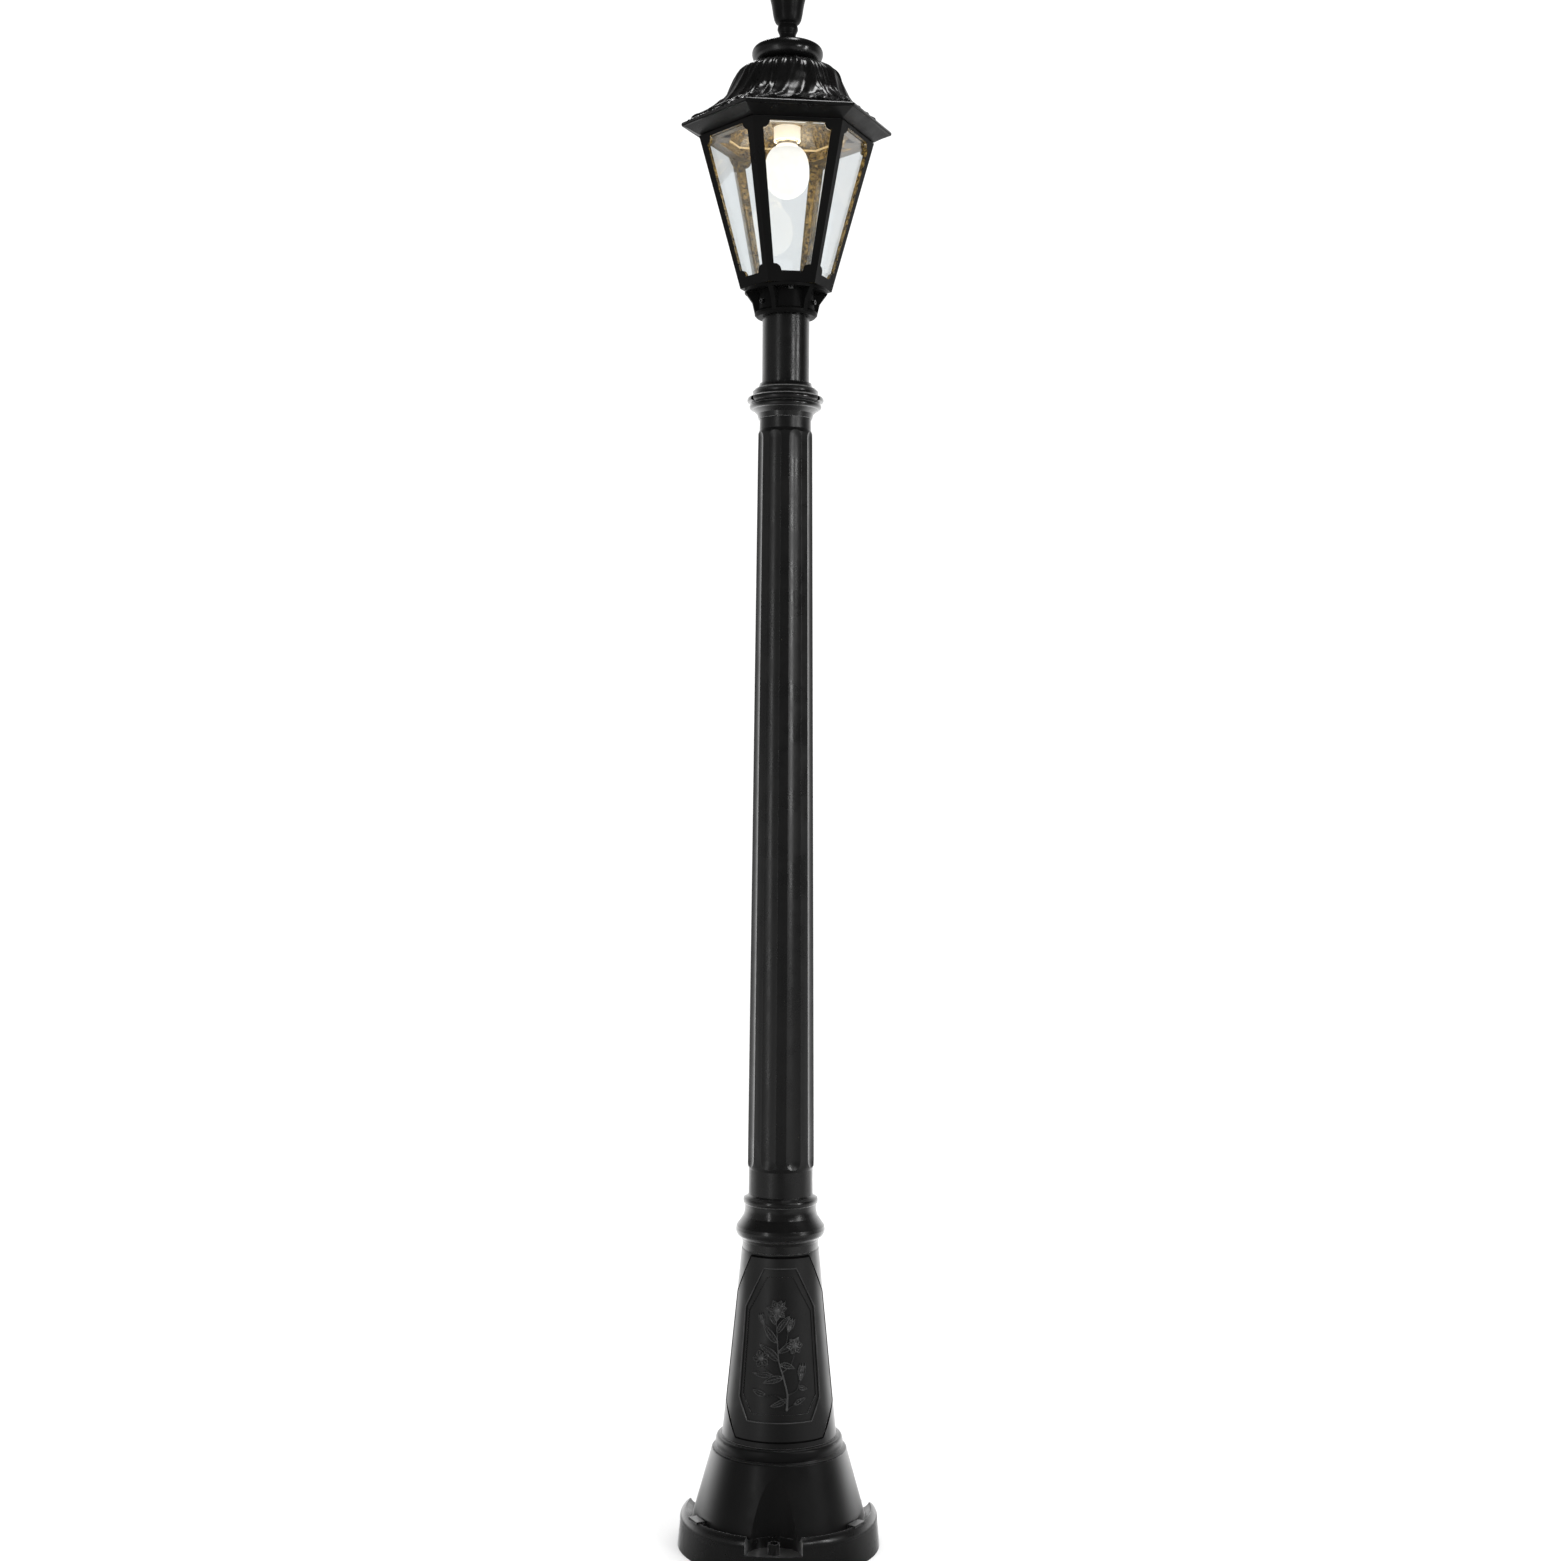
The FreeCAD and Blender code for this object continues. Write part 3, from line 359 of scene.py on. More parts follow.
class Painter(Nodes):
    """Builds one material's nodes around a Principled shader."""

    def __init__(self, name):
        self.material = bpy.data.materials.new("look_" + name)
        self.material.use_nodes = True
        super().__init__(self.material.node_tree)
        self.out = self.add("OutputMaterial")
        self.shader = self.add("BsdfPrincipled")
        self.wire(self.shader.outputs["BSDF"], self.out.inputs["Surface"])
        self.coords = self.add("TexCoord")

    def set(self, **values):
        for name, value in values.items():
            self.shader.inputs[name.replace("_", " ")].default_value = value

    def noise(self, scale, detail=3.0, roughness=0.5, stretch=(1, 1, 1)):
        mapping = self.add("Mapping")
        mapping.inputs["Scale"].default_value = stretch
        self.wire(self.coords.outputs["Object"], mapping.inputs["Vector"])
        node = self.add("TexNoise")
        node.inputs["Scale"].default_value = scale
        node.inputs["Detail"].default_value = detail
        node.inputs["Roughness"].default_value = roughness
        self.wire(mapping.outputs["Vector"], node.inputs["Vector"])
        return node.outputs["Fac"]

    def mix(self, share, first, second):
        node = self.add("Mix")
        node.data_type = "RGBA"
        self.feed(share, node.inputs["Factor"])
        self.feed(first, node.inputs[MIX_FIRST])
        self.feed(second, node.inputs[MIX_SECOND])
        return node.outputs[MIX_RESULT]

    def colour(self, value):
        self.feed(value, self.shader.inputs["Base Color"])

    def gloss(self, value):
        self.feed(value, self.shader.inputs["Roughness"])

    def coat(self, value):
        self.feed(value, self.shader.inputs["Coat Weight"])

    def bump(self, height, strength, depth, normal=None):
        node = self.add("Bump")
        node.inputs["Strength"].default_value = strength
        node.inputs["Distance"].default_value = depth
        self.feed(height, node.inputs["Height"])
        if normal is not None:
            self.wire(normal, node.inputs["Normal"])
        self.wire(node.outputs["Normal"], self.shader.inputs["Normal"])
        return node.outputs["Normal"]

    def rounded(self, radius):
        """Normal that is rounded at edges."""
        node = self.add("Bevel")
        node.samples = BEVEL_SAMPLES
        node.inputs["Radius"].default_value = radius
        return node.outputs["Normal"]

    def place(self):
        """The x, y and z of a point in the piece's own frame."""
        return self.split(self.coords.outputs["Object"])

    def vector(self, operation, first, second=None):
        node = self.add("VectorMath")
        node.operation = operation
        self.feed(first, node.inputs[0])
        if second is not None:
            self.feed(second, node.inputs[1])
        return node

    def outward(self):
        """1 where the surface faces away from the post's axis, -1 where it faces it."""
        flat = self.vector("MULTIPLY", self.coords.outputs["Object"], (1, 1, 0))
        unit = self.vector("NORMALIZE", flat.outputs["Vector"])
        dot = self.vector("DOT_PRODUCT", unit.outputs["Vector"], self.coords.outputs["Normal"])
        return dot.outputs["Value"]

    def cage_inside(self):
        """1 where the surface faces the post's axis between the cage's foot and the roof's dome, where the
        bulb's light is painted on.
        """
        cage_low, cage_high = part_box("lantern_frame")
        height = self.place()[2]
        above = self.span(height, cage_low.z - 2 * MM, cage_low.z + 6 * MM)
        below = self.span(height, cage_high.z + 55 * MM, cage_high.z + 5 * MM)
        zone = self.times(above, below)
        return self.times(self.span(self.outward(), 0.25, -0.2), zone)

    def ceiling(self):
        """1 where the surface faces down above the roof's brim and within its mouth, where the bulb's light
        is painted on.
        """
        down = self.span(self.split(self.coords.outputs["Normal"])[2], 0.1, -0.1)
        brim_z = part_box("roof_shell")[0].z + BRIM_DROP_H
        x, y, z = self.place()
        square = self.math("ADD", self.times(x, x), self.times(y, y))
        within = self.span(square, (ROOF_MOUTH_R + 3 * MM) ** 2, (ROOF_MOUTH_R + MM) ** 2)
        return self.times(self.times(down, within), self.span(z, brim_z, brim_z + MM))

    def low_angle(self, start):
        """Grows from 0 to 1 as the surface turns away, for the gloss alone."""
        return self.span(self.add("LayerWeight").outputs["Facing"], start, HAZE_FULL)


def grey(level, warmth=0.0):
    return (level * (1 + warmth), level, level * (1 - warmth), 1.0)


def cast_paint(name, grain, peel, rough, shine=0.4, haze=0.0, start=0.34, lit=None):
    """Satin black paint on a casting: orange peel, slow waves and a little dust.

    Haze is the pale bloom that the paint shows from the angle start on. The last argument is the Painter's
    way to find what the bulb lights; there the colour is painted bulb light, a gold in dim and bright pools.
    """
    paint = Painter(name)
    tone = paint.span(paint.noise(scale=9, detail=4), 0.35, 0.7)
    speck = paint.span(paint.noise(scale=grain * 1.7, detail=2), 0.6, 0.8)
    colour = paint.mix(tone, grey(BLACK), grey(BLACK_PALE, warmth=0.02))
    colour = paint.mix(paint.times(speck, SPECK_SHARE), colour, grey(SPECK))
    # Painted light: where the bulb shines in, the black turns to a gold that stands in for its light, in dim
    # and bright pools; the coat there is gloss
    if lit:
        inner = lit(paint)
        light_pools = paint.span(paint.noise(scale=210, detail=5, roughness=0.65), 0.36, 0.72)
        colour = paint.mix(inner, colour, paint.mix(light_pools, BULB_LIGHT_DIM, BULB_LIGHT_BRIGHT))
        paint.set(Coat_Roughness=0.24, Coat_IOR=1.9)
        paint.coat(paint.times(inner, LIT_COAT))
    paint.colour(colour)
    smear = paint.noise(scale=28, detail=5, roughness=0.6)
    paint.gloss(paint.span(smear, 0.3, 0.7, to_low=rough - 0.04, to_high=rough + 0.1))
    paint.set(Specular_IOR_Level=shine)
    if haze:
        paint.set(Sheen_Weight=haze, Sheen_Roughness=0.22, Sheen_Tint=grey(1.0))
        paint.set(Coat_Roughness=0.30, Coat_IOR=4.0)
        paint.coat(paint.times(paint.low_angle(start), haze))
    waves = paint.bump(paint.noise(scale=45, detail=2), strength=0.4, depth=0.5 * MM,
                       normal=paint.rounded(ROUNDING_R))
    paint.bump(paint.noise(scale=grain, detail=3, roughness=0.55), strength=0.8, depth=peel, normal=waves)
    return paint.material


def relief_paint(name):
    """The casting's paint, paler where the relief stands highest: wear, and a painted highlight on the
    raised lines.
    """
    paint = Painter(name)
    wear_and_highlight = paint.add("Attribute")
    wear_and_highlight.attribute_name = RELIEF_WEAR_HIGHLIGHT
    cloud = paint.span(paint.noise(scale=60, detail=4), 0.3, 0.7, to_low=RUBBED_HIGHLIGHT_LEAST)
    paint.colour(paint.mix(paint.times(wear_and_highlight.outputs["Fac"], cloud), grey(BLACK), grey(RUBBED_HIGHLIGHT)))
    paint.gloss(paint.span(cloud, RUBBED_HIGHLIGHT_LEAST, 1.0, to_low=0.36, to_high=0.28))
    paint.set(Specular_IOR_Level=0.4)
    return paint.material


def bare_metal(name, colour, rough, streak):
    """Turned or drawn metal with fine marks and dull patches."""
    paint = Painter(name)
    marks = paint.noise(scale=streak, detail=3, roughness=0.6, stretch=(1, 1, 6))
    dull = tuple(channel * DULL_METAL for channel in colour[:3]) + (1.0,)
    paint.colour(paint.mix(paint.span(paint.noise(scale=90, detail=5), 0.35, 0.75), colour, dull))
    paint.gloss(paint.span(marks, 0.3, 0.7, to_low=rough, to_high=rough + 0.16))
    paint.set(Metallic=1.0)
    paint.bump(marks, strength=0.25, depth=0.08 * MM, normal=paint.rounded(0.2 * MM))
    return paint.material


def moulded(name, colour, shadow, rough, grain, depth, shine=0.5, glow=0.0):
    """Moulded plastic or rubber with a fine skin; the glow is painted light, an emission that stands in for
    the bulb's light on it.
    """
    paint = Painter(name)
    paint.set(Specular_IOR_Level=shine, Emission_Color=LAMP_CREAM, Emission_Strength=glow)
    paint.colour(paint.mix(paint.span(paint.noise(scale=60, detail=4), 0.3, 0.75), colour, shadow))
    paint.gloss(paint.span(paint.noise(scale=grain / 3), 0.3, 0.7, to_low=rough, to_high=rough + 0.12))
    paint.bump(paint.noise(scale=grain), strength=0.4, depth=depth, normal=paint.rounded(0.3 * MM))
    return paint.material


def lamp_glass(name):
    """Opal glass that is lit from inside, a little weaker towards the neck."""
    paint = Painter(name)
    holder_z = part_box("holder_body")[0].z
    height = paint.place()[2]
    glow = paint.span(height, holder_z - MM, holder_z - NECK_FADE_H, to_low=NECK_GLOW)
    cloud = paint.span(paint.noise(scale=120), 0.2, 0.8, to_low=0.94)
    given = paint.mix(cloud, (1.0, 0.74, 0.44, 1), (1.0, 0.80, 0.54, 1))
    paint.colour(paint.mix(cloud, grey(0.10, warmth=0.03), grey(0.13, warmth=0.02)))
    paint.gloss(paint.span(cloud, 0.94, 1.0, to_low=0.24, to_high=0.18))
    pale = paint.mix(cloud, (1.0, 0.90, 0.74, 1), (1.0, 0.97, 0.90, 1))
    path = paint.add("LightPath")
    seen = paint.math("MAXIMUM", path.outputs["Is Camera Ray"], path.outputs["Is Transmission Ray"])
    mirrored = paint.times(path.outputs["Is Glossy Ray"], paint.math("SUBTRACT", 1.0, seen))
    hidden = paint.math("SUBTRACT", paint.math("SUBTRACT", 1.0, seen), mirrored)
    level = paint.math("ADD", paint.times(seen, BULB_SEEN),
                       paint.math("ADD", paint.times(mirrored, BULB_MIRRORED),
                                  paint.times(hidden, BULB_GLOW)))
    paint.feed(paint.mix(seen, given, pale), paint.shader.inputs["Emission Color"])
    paint.feed(paint.times(paint.times(glow, cloud), level), paint.shader.inputs["Emission Strength"])
    return paint.material


def clear_sheet(name):
    """Clear pane with a faint cool tint and thin streaks; shadow and diffuse rays pass straight."""
    paint = Painter(name)
    film = paint.span(paint.noise(scale=26, detail=6, roughness=0.65, stretch=(1, 1, 0.35)), 0.42, 0.8)
    paint.colour(paint.mix(film, (0.900, 0.925, 0.935, 1), (0.865, 0.892, 0.900, 1)))
    paint.gloss(paint.span(film, 0.0, 1.0, to_low=0.012, to_high=0.075))
    paint.set(IOR=1.49, Transmission_Weight=1.0, Specular_IOR_Level=0.35)
    paint.bump(paint.noise(scale=18, detail=2), strength=0.12, depth=0.4 * MM)
    clear = paint.add("BsdfTransparent")
    clear.inputs["Color"].default_value = (0.93, 0.945, 0.95, 1)
    path = paint.add("LightPath")
    blend = paint.add("MixShader")
    passing = paint.math("MAXIMUM", path.outputs["Is Shadow Ray"], path.outputs["Is Diffuse Ray"])
    paint.wire(passing, blend.inputs["Fac"])
    paint.wire(paint.shader.outputs["BSDF"], blend.inputs[1])
    paint.wire(clear.outputs["BSDF"], blend.inputs[2])
    paint.wire(blend.outputs["Shader"], paint.out.inputs["Surface"])
    return paint.material


# The looks of the record's material slots
LOOKS = {
    "black_casting": cast_paint("black_casting", grain=520, peel=0.00008, rough=0.24, haze=1.0),
    "lantern_casting": cast_paint("lantern_casting", grain=800, peel=0.00004, rough=0.30, shine=0.03,
                                  lit=Painter.cage_inside),
    "black_steel": cast_paint("black_steel", grain=560, peel=0.00013, rough=0.25, haze=0.4),
    "zinc_steel": bare_metal("zinc_steel", (0.56, 0.57, 0.58, 1), rough=0.28, streak=300),
    "bright_aluminium": bare_metal("bright_aluminium", (0.80, 0.80, 0.79, 1), rough=0.22, streak=420),
    "brass": bare_metal("brass", (0.74, 0.53, 0.24, 1), rough=0.25, streak=350),
    "black_rubber": moulded("black_rubber", grey(0.018), grey(0.03), rough=0.62, grain=1400, depth=0.00006),
    "white_plastic": moulded("white_plastic", grey(0.72), grey(0.62, warmth=0.02), rough=0.36, grain=1100,
                             depth=0.00004),
    "cream_plastic": moulded("cream_plastic", (0.66, 0.58, 0.44, 1), (0.55, 0.47, 0.34, 1), rough=0.32,
                             grain=1200, depth=0.00004),
    "black_plastic": moulded("black_plastic", grey(0.012), grey(0.02), rough=0.3, grain=1200, depth=0.00004),
    "opal_glass": lamp_glass("opal_glass"),
    "clear_pane": clear_sheet("clear_pane"),
}

# The looks of single pieces, where the bulb's light or shade is painted in or the casting changes them
# A darker, warmer copy of the zinc, for the lamp bracket, its screws and the stud's nuts
DARK_WARM_ZINC = bare_metal("dark_warm_zinc", (0.075, 0.060, 0.034, 1), rough=0.45, streak=300)
# Painted shade: a darker brown copy of the cream plastic, for the lamp holder's ring and cap away from the
# bulb
SHADED_CREAM = moulded("shaded_cream", (0.16, 0.115, 0.055, 1), (0.10, 0.07, 0.032, 1), rough=0.38,
                       grain=1200, depth=0.00004)
# Painted light: a paler copy of the cream plastic with a glow, for the lamp holder's body right over the
# bulb
LIT_CREAM_GLOW = moulded("lit_cream_glow", (0.92, 0.86, 0.72, 1), (0.88, 0.80, 0.62, 1), rough=0.34, grain=1200,
                     depth=0.00004, glow=0.5)
# Painted light: a pale tan that stands in for the bulb's light on the lip round the roof's mouth
PAINTED_LIGHT_EDGE = moulded("painted_light_edge", (0.30, 0.26, 0.17, 1), (0.22, 0.18, 0.10, 1), rough=0.4, grain=1200,
                   depth=0.00004)
# Painted shade: a near-black, dull line that stands in for the shadow round the panel's raised pad
SHADE_LINE = moulded("painted_shade_line", grey(0.0012), grey(0.0018), rough=0.6, grain=520, depth=0.00004, shine=0.03)
FOOT_PAINT = cast_paint("foot_paint", grain=520, peel=0.00008, rough=0.26, haze=1.0, start=0.24)
SKIRT_PAINT = cast_paint("skirt_paint", grain=520, peel=0.00008, rough=0.34, shine=0.15, haze=1.0, start=0.2)
COLLAR_PAINT = cast_paint("collar_paint", grain=520, peel=0.00009, rough=0.22, haze=1.0, start=0.24)
RELIEF_PAINT = relief_paint("relief_paint")
PEDESTAL_PAINT = cast_paint("pedestal_paint", grain=520, peel=0.00008, rough=0.34, haze=1.0)
SHAFT_PAINT = cast_paint("shaft_paint", grain=520, peel=0.00014, rough=0.27, haze=0.5, start=0.55)
TOP_PAINT = cast_paint("top_paint", grain=800, peel=0.00004, rough=0.30, shine=0.1)
CAP_PAINT = cast_paint("cap_paint", grain=800, peel=0.00004, rough=0.22)
LEAF_PAINT = cast_paint("leaf_paint", grain=800, peel=0.00003, rough=0.19, shine=0.5, lit=Painter.ceiling)
NODE_LOOKS = {"lamp_bracket": DARK_WARM_ZINC, "bracket_screws": DARK_WARM_ZINC, "stud_nuts": DARK_WARM_ZINC,
              "holder_cap": SHADED_CREAM, "holder_ring": SHADED_CREAM, "holder_body": LIT_CREAM_GLOW,
              "foot_flange": FOOT_PAINT, "base_skirt": SKIRT_PAINT, "anchor_bushes": FOOT_PAINT,
              "pedestal_shell": PEDESTAL_PAINT, "fluted_shaft": SHAFT_PAINT, "lower_collar": COLLAR_PAINT,
              "upper_collar": COLLAR_PAINT}


def dress_cad_nodes():
    for name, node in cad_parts.items():
        for slot in node.material_slots:
            slot.material = NODE_LOOKS.get(name, LOOKS[slot.material.name.split(".")[0]])


# Roof


def hex_share(angles):
    """Distance from the axis to a hexagon's side, as a share of its corner radius."""
    half = math.pi / SIDES
    sector = (angles + half) % (2 * half) - half
    return math.cos(half) / np.cos(half - np.abs(sector))


def ridge(place, width):
    return np.exp(-(place / width) ** 2)


def leaf_height(angles, share):
    """How far the roof's leaves stand out, in mm; share is 0 at the hem and 1 at the shoulder."""
    half = 180.0 / SIDES
    turned = np.degrees(angles)
    sector = turned % (2 * half) - half
    side = np.abs(sector)
    low = 1 - share
    edge = LEAF_HALF + LEAF_FLARE * low ** 3 - LEAF_WAIST * math.sin(3.0 * share)
    within = 1 - smoothstep(edge - 0.8, edge + 0.3, side)
    crown = np.clip(1 - (side / edge) ** 2, 0, 1)
    vein = ridge(sector - VEIN_PLACE - VEIN_LEAN * low, VEIN_WIDTH) * smoothstep(0.35, 0.6, share)
    broad = LEAF_H + LEAF_CROWN_H * crown + VEIN_H * vein
    apart = half - side
    spine = SPINE_H * ridge(apart, SPINE_WIDTH) * (0.35 + low)
    behind = CORNER_H + spine + RIB_H * ridge(apart - RIB_PLACE, RIB_WIDTH)
    leaves = within * broad + (1 - within) * behind

    # Long folds that lean to one side, deepest at the hem, and low waves on the other half of a side
    leant = turned - FOLD_LEAN * share + FOLD_SWAY * np.sin(np.radians(turned * 3))
    drape = (0.5 + 0.5 * np.cos(np.radians(leant * FOLDS))) ** 1.8
    folds = (FOLD_H + FOLD_HEM_H * smoothstep(0.42, 0.14, share)) * drape * smoothstep(0.01, 0.08, share)
    wave = (0.5 + 0.5 * np.cos(2 * math.pi * (sector / WAVE_WIDTH - WAVE_TURNS * share))) ** 1.5
    waves = WAVE_H * wave * smoothstep(0.24, 0.12, share) * smoothstep(4, 12, sector)

    # Gathers: the folds that run in under the cap
    uneven = 0.62 + 0.38 * np.cos(np.radians(turned * 13 + 25))
    sway = GATHER_SWAY * np.sin(np.radians(turned * 7))
    gather = (0.5 + 0.5 * np.cos(np.radians(turned * GATHERS + sway - GATHER_LEAN * share))) ** 1.5
    gathers = GATHER_H * gather * uneven * smoothstep(0.64, 0.82, share)
    return leaves + folds + waves + gathers


def roof_rings():
    foot_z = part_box("roof_shell")[0].z
    top_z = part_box("roof_shell")[1].z
    brim_z = foot_z + BRIM_DROP_H
    edge_z = brim_z + BRIM_EDGE_H
    lip_z = brim_z - BRIM_LIP / 2
    angles = np.arange(ROOF_STEPS) * 2 * math.pi / ROOF_STEPS
    corner = hex_share(angles)
    slope_r = BRIM_R - BRIM_EDGE_H / 2

    def ring(radii, heights):
        turned = angles + LANTERN_YAW
        return np.column_stack([radii * np.cos(turned), radii * np.sin(turned), heights + 0 * angles])

    def slope_z(radii):
        share = (slope_r - radii / corner) / (slope_r - BRIM_SLOPE_R)
        return edge_z + BRIM_SLOPE_H * (0.5 * share + 0.5 * share ** SLOPE_CURVE)

    def raised(radii, heights, share, tilt):
        """A ring of leaf surface, standing out square to a ground that is tilted by so many degrees."""
        out = leaf_height(angles, share) * MM * smoothstep(1.0, LEAVES_END, share)
        turn = math.radians(tilt)
        return ring(radii + out * math.sin(turn), np.minimum(heights + out * math.cos(turn), top_z))

    # The brim, from the mouth's foot out to its bevelled edge, at a corner of the roof
    brim = [
        (ROOF_MOUTH_R, foot_z),
        (ROOF_SEAT_R, foot_z),
        (ROOF_SEAT_R + (BRIM_R - ROOF_SEAT_R) * UNDER_BEND, foot_z + (brim_z - foot_z) * UNDER_BEND),
        (BRIM_R - BRIM_LIP * 2, lip_z - BRIM_LIP),
        (BRIM_R - BRIM_LIP / 2, lip_z - BRIM_LIP),
        (BRIM_R, brim_z),
        (BRIM_R, edge_z - BRIM_BEVEL_H),
        (BRIM_R - BRIM_BEVEL_R, edge_z),
    ]
    rings = [ring(radius * corner, z) for radius, z in brim]

    bead = 0.5 + 0.5 * np.cos(angles * HEM_BEADS)
    hem = HEM_R * corner
    rings.append(ring(hem + HEM_BEAD_R * bead + HEM_FOOT_R, slope_z(hem + HEM_BEAD_R * bead)))
    for out, bead_out, rise, bead_rise in HEM_ROWS:
        rings.append(ring(hem + out + bead_out * bead, slope_z(hem) + HEM_RISE * (rise + bead_rise * bead)))

    outline = spline_points(DOME_OUTLINE, steps=12)
    foot_r = outline[0][0] - DOME_SINK
    for share in np.linspace(SLOPE_START, 1.0, SLOPE_RINGS):
        radii = hem * (1 - share) + foot_r * share
        tilt = HEM_TILT + (DOME_TILT - HEM_TILT) * share
        rings.append(raised(radii, slope_z(radii), SLOPE_SHARE * share, tilt))
    foot_heights = slope_z(foot_r)
    base_z = foot_heights.min()
    inner = []
    for pick in np.linspace(0, len(outline) - 1, DOME_RINGS)[1:]:
        low = int(pick)
        high = min(low + 1, len(outline) - 1)
        radius, share = outline[low] + (outline[high] - outline[low]) * (pick - low)
        ground_r = radius - DOME_SINK
        z = base_z + (top_z - base_z) * share
        heights = z + (foot_heights - base_z) * smoothstep(DOME_SIDED, 0.0, share)
        tilt = DOME_TILT + (SHOULDER_TILT - DOME_TILT) * smoothstep(0.0, 0.3, share)
        rings.append(raised(ground_r, heights, SLOPE_SHARE + (1 - SLOPE_SHARE) * share, tilt))
        if share < 0.99:
            inner.append((ground_r - DOME_WALL, z))
    rings.append(ring(STUD_HOLE_R, top_z))
    rings.append(ring(STUD_HOLE_R, top_z - DOME_WALL))
    for radius, z in inner[::-DOME_INNER_STEP]:
        rings.append(ring(radius, min(z, top_z - DOME_WALL)))
    last_r, last_z = inner[0]
    mouth = ROOF_MOUTH_R * corner
    rings.append(ring((last_r + mouth) / 2, (last_z + brim_z) / 2 + DOME_WALL / 4))
    rings.append(ring(mouth - MOUTH_LIP_R, brim_z + MOUTH_LIP_R))
    rings.append(ring(mouth - MOUTH_LIP_R, brim_z - MOUTH_LIP_R))
    rings.append(ring(mouth, brim_z - MOUTH_LIP_R - MOUTH_LIP_H))
    return rings


def make_roof():
    mesh = rings_mesh("leafy_roof", roof_rings(), True, ROOF_SHARP)
    piece = new_piece("leafy_roof", mesh, "roof", LEAF_PAINT)
    for material in (TOP_PAINT, LOOKS["lantern_casting"], PAINTED_LIGHT_EDGE):
        mesh.materials.append(material)
    brim_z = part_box("roof_shell")[0].z + BRIM_DROP_H
    for polygon in mesh.polygons:
        x, y, z = polygon.center
        if z < brim_z + MOUTH_LIP_R / 2:
            angle = np.array([math.atan2(y, x) - LANTERN_YAW])
            in_mouth = math.hypot(x, y) < hex_share(angle)[0] * (ROOF_MOUTH_R + ROOF_SEAT_R) / 2 - MM
            on_lip = in_mouth and z > brim_z - MOUTH_LIP_R - MOUTH_LIP_H
            polygon.material_index = LIP_SLOT if on_lip else MOUTH_SLOT if in_mouth else UNDER_SLOT
    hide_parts("roof_shell")


def turned_rings(node, outline, steps, segments):
    """Rings of a smooth turned piece in the place of a CAD node."""
    low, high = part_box(node)
    radius = (high.x - low.x) / 2
    points = spline_points(outline, steps)
    angles = np.arange(segments) * 2 * math.pi / segments
    rings = []
    for share_r, share_z in points:
        r = max(share_r, 0.0) * radius
        z = low.z + min(max(share_z, 0.0), 1.0) * (high.z - low.z)
        rings.append(np.column_stack([r * np.cos(angles), r * np.sin(angles), np.full(segments, z)]))
    return rings


def make_cap():
    rings = turned_rings("cap_disc", CAP_OUTLINE, steps=6, segments=128)
    mesh = rings_mesh("bun_cap", rings, True, TURNED_SHARP)
    piece = new_piece("bun_cap", mesh, "roof", CAP_PAINT)
    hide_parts("cap_disc")


def make_finial():
    """The finial, with a closed bore for the stud that ends just above the insert."""
    rings = turned_rings("finial", FINIAL_OUTLINE, steps=5, segments=96)
    foot = rings[0].copy()
    foot[:, :2] = foot[:, :2] * FINIAL_BORE_SHARE
    top = foot.copy()
    top[:, 2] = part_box("finial_insert")[1].z + MM
    closed = top.copy()
    closed[:, :2] = 0
    mesh = rings_mesh("turned_finial", [closed, top, foot] + rings, False, TURNED_SHARP)
    piece = new_piece("turned_finial", mesh, "finial", TOP_PAINT)
    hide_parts("finial")


# Relief on the pedestal: a generic spray of leaves and flowers, as heights over a flat sheet


def leaf_shape(across, up, foot, tip, width, height, bend=0.0):
    """Height in mm of a pointed leaf between two points, with a midrib and side veins."""
    foot = np.array(foot, float)
    tip = np.array(tip, float)
    length = np.linalg.norm(tip - foot)
    along_way = (tip - foot) / length
    side_way = np.array([-along_way[1], along_way[0]])
    along = ((across - foot[0]) * along_way[0] + (up - foot[1]) * along_way[1]) / length
    side = (across - foot[0]) * side_way[0] + (up - foot[1]) * side_way[1]
    side = side - bend * length * along * (1 - along)
    clipped = np.clip(along, 0, 1)
    half = width * np.sin(math.pi * clipped ** 0.75) ** 0.8 + 1e-4
    share = np.abs(side) / half
    rim = np.exp(-((half - np.abs(side) - RIM_INSET) / RIM_WIDTH) ** 2) * np.clip(half / 1.6, 0, 1)
    rib = np.exp(-(side / MIDRIB_WIDTH) ** 2)
    turns = along * length / SIDE_VEIN_PITCH - np.abs(side) / SIDE_VEIN_LEAN
    veins = SIDE_VEIN_SHARE * np.sin(2 * math.pi * turns)
    bowl = BOWL_SHARE * np.sqrt(np.clip(1 - share ** 2, 0, 1)) + veins * np.clip(1 - share, 0, 1)
    inside = (along > 0) & (along < 1) & (share < 1)
    shape = np.maximum(bowl, np.maximum(RIM_SHARE * rim, MIDRIB_SHARE * rib))
    return np.where(inside, height * np.clip(shape, LEAST_SHARE, 1), -1)


def stem_shape(across, up, points, foot_r, tip_r):
    """Height in mm of a round stem along a smooth line."""
    line = spline_points(points, steps=10)
    found = np.full(across.shape, -1.0)
    for i in range(len(line) - 1):
        a, b = line[i], line[i + 1]
        span = b - a
        share = ((across - a[0]) * span[0] + (up - a[1]) * span[1]) / (span @ span)
        share = np.clip(share, 0, 1)
        apart = np.hypot(across - a[0] - share * span[0], up - a[1] - share * span[1])
        radius = foot_r + (tip_r - foot_r) * (i + share) / (len(line) - 1)
        round_top = np.sqrt(np.clip(radius ** 2 - apart ** 2, 0, None))
        found = np.maximum(found, np.where(apart < radius, round_top, -1))
    return found


